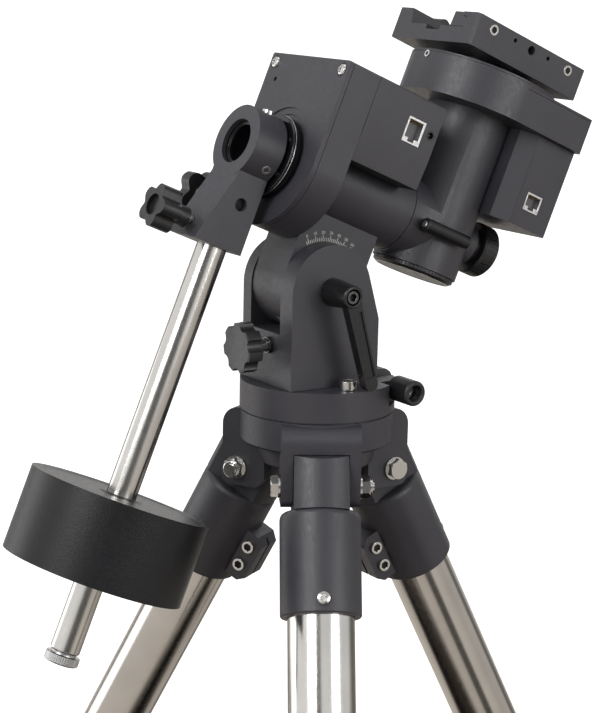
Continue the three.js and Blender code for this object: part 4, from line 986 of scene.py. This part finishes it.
INNER = {
    BRASS: ["ra_worm_wheel", "dec_worm_wheel"],
    STEEL: ["ra_worm", "dec_worm", "ra_bearing_front", "ra_bearing_rear", "dec_bearing"],
    GLOSS: ["ra_motor", "dec_motor"],
}
for material, nodes in INNER.items():
    for node in nodes:
        obj = frame["nodes"][node]
        obj.data.materials.clear()
        obj.data.materials.append(material)
        edges = obj.modifiers.new("soft_edges", "BEVEL")
        edges.width = 0.12 * MM
        edges.limit_method = "ANGLE"
        edges.angle_limit = 50 * DEG

# ---------------------------------------------------------------- floor, light and camera


STAGE_HALF, WALLS_AWAY = 30, 28


def stage_plane(name, at, rotation, material):
    bm = bmesh.new()
    corners = [(-STAGE_HALF, -STAGE_HALF), (STAGE_HALF, -STAGE_HALF), (STAGE_HALF, STAGE_HALF),
               (-STAGE_HALF, STAGE_HALF)]
    bm.faces.new([bm.verts.new((x, y, 0)) for x, y in corners])
    mesh = bpy.data.meshes.new(name)
    bm.to_mesh(mesh)
    bm.free()
    obj = scene_object(name, mesh)
    obj.location = at
    obj.rotation_euler = rotation
    mesh.materials.append(material)
    return obj


def studio_light(name, size, power, away):
    """A soft box at an offset from the mount's head, aimed at it."""
    data = bpy.data.lights.new(name, "AREA")
    data.shape = "RECTANGLE"
    data.size, data.size_y = size
    data.energy = power
    light = scene_object(name, data)
    light.location = HEAD + Vector(away)
    light.rotation_euler = (HEAD - light.location).to_track_quat("-Z", "Y").to_euler()


floor_look = Look("pale_floor", (0.9, 0.9, 0.9), 0.75)
floor_look.bump(floor_look.noise(60, 3), 0.03, 0.001)
floor_look.glow(0.65)
floor = stage_plane("floor", (0, 0, -0.0006), (0, 0, 0), floor_look.material)
floor.visible_diffuse = False
floor.visible_glossy = False
backdrop_look = Look("white_backdrop", (0, 0, 0), 1.0, 0.0, 0.0)
backdrop_look.glow(1.0)
for k in range(4):
    quarter = 90 * k * DEG
    away = (WALLS_AWAY * math.sin(quarter), WALLS_AWAY * math.cos(quarter), WALLS_AWAY)
    wall = stage_plane(f"backdrop_{k + 1}", away, (90 * DEG, 0, -quarter), backdrop_look.material)
    for ray in ("diffuse", "glossy", "transmission", "shadow"):
        setattr(wall, "visible_" + ray, False)

CAMERA_YAW, CAMERA_PITCH, CAMERA_ROLL = 33.49 * DEG, 14.65 * DEG, 1.3 * DEG

# How bright the studio is round about: (degrees to the right of the camera's side, level). Bright metal
# shows the dark bands as stripes. The bands lean: they move left by BAND_LEAN degrees from level to
# straight up.
BAND_LEAN = 57
ROUND_ABOUT = ((-180, 1.0), (-152, 0.9), (-142, 0.2), (-126, 0.2), (-114, 1.0), (-40, 1.0), (-6, 0.85),
               (4, 0.15), (24, 0.15), (33, 1.0), (48, 0.95), (75, 0.75), (108, 0.8), (116, 0.25),
               (128, 0.25), (140, 0.9), (180, 1.0))
# And by height: (sine of the elevation, colour).
BY_HEIGHT = ((-1.0, (0.02, 0.015, 0.012)), (-0.85, (0.02, 0.015, 0.012)), (-0.80, (0.60, 0.55, 0.49)),
             (-0.08, (0.66, 0.62, 0.58)), (0.02, (1.0, 1.0, 1.0)), (1.0, (1.0, 1.0, 1.0)))


def studio_world():
    """A soft pale studio that is dimmer low down, overhead and in a few leaning bands round about."""
    world = bpy.data.worlds.new("studio")
    world.use_nodes = True
    tree = world.node_tree
    direction = new_node(tree, "TexCoord", {}).outputs["Generated"]
    turn = new_node(tree, "Mapping", {"Rotation": (0, 0, 90 * DEG + CAMERA_YAW), "Vector": direction})
    radial = new_node(tree, "TexGradient", {"Vector": turn.outputs["Vector"]}, gradient_type="RADIAL")
    rise = new_node(tree, "SeparateXYZ", {"Vector": direction}).outputs["Z"]
    leaning = new_node(tree, "Math", {0: rise, 1: BAND_LEAN / 360, 2: radial.outputs["Fac"]},
                       operation="MULTIPLY_ADD")
    around = color_ramp(tree, leaning.outputs["Value"], [(0.5 + a / 360, (v, v, v)) for a, v in ROUND_ABOUT])
    height = new_node(tree, "MapRange", {"From Min": -1, "Value": rise})
    level = color_ramp(tree, height.outputs["Result"], [((1 + z) / 2, color) for z, color in BY_HEIGHT])
    overhead = new_node(tree, "MapRange", {"From Min": 0.5, "From Max": 0.85, "Value": rise})
    faded = new_node(tree, "MixRGB", {"Fac": overhead.outputs["Result"], "Color1": around,
                                      "Color2": (0.5, 0.5, 0.5, 1)})
    product = new_node(tree, "MixRGB", {"Fac": 1, "Color1": faded.outputs["Color"], "Color2": level},
                       blend_type="MULTIPLY")
    tree.links.new(product.outputs["Color"], tree.nodes["Background"].inputs["Color"])
    return world


bpy.context.scene.world = studio_world()
bpy.context.scene.view_settings.view_transform = "Standard"

HEAD = STAND.translation + Vector((0, 0, 0.06))
studio_light("key_soft_box", (1.0, 1.2), 26, (-1.7, -0.6, 1.2))
studio_light("fill_soft_box", (0.8, 0.8), 10, (0.55, -1.7, 0.4))
studio_light("rim_soft_box", (1.3, 1.0), 6, (-1.2, 1.7, -0.2))
studio_light("top_soft_box", (1.4, 1.0), 5, (0.1, 0.2, 1.7))

CAMERA_PLACE = Vector((-724.4, -1075.5, 285.4)) * MM
FOCAL_IN_PICTURE_HEIGHTS = 2.74123
camera_data = bpy.data.cameras.new("camera")
camera_data.lens = FOCAL_IN_PICTURE_HEIGHTS * camera_data.sensor_width
camera_data.shift_x = -0.00365
camera_data.shift_y = 0.1348
camera = scene_object("camera", camera_data)
forward = Vector((math.sin(CAMERA_YAW) * math.cos(CAMERA_PITCH),
                  math.cos(CAMERA_YAW) * math.cos(CAMERA_PITCH), -math.sin(CAMERA_PITCH)))
level = Vector((math.cos(CAMERA_YAW), -math.sin(CAMERA_YAW), 0))
upright = level.cross(forward)
right = level * math.cos(CAMERA_ROLL) + upright * math.sin(CAMERA_ROLL)
up = upright * math.cos(CAMERA_ROLL) - level * math.sin(CAMERA_ROLL)
camera_matrix = Matrix((right, up, -forward)).transposed().to_4x4()
camera_matrix.translation = STAND.translation + CAMERA_PLACE
camera.matrix_world = camera_matrix
camera_data.clip_end = 50
bpy.context.scene.camera = camera
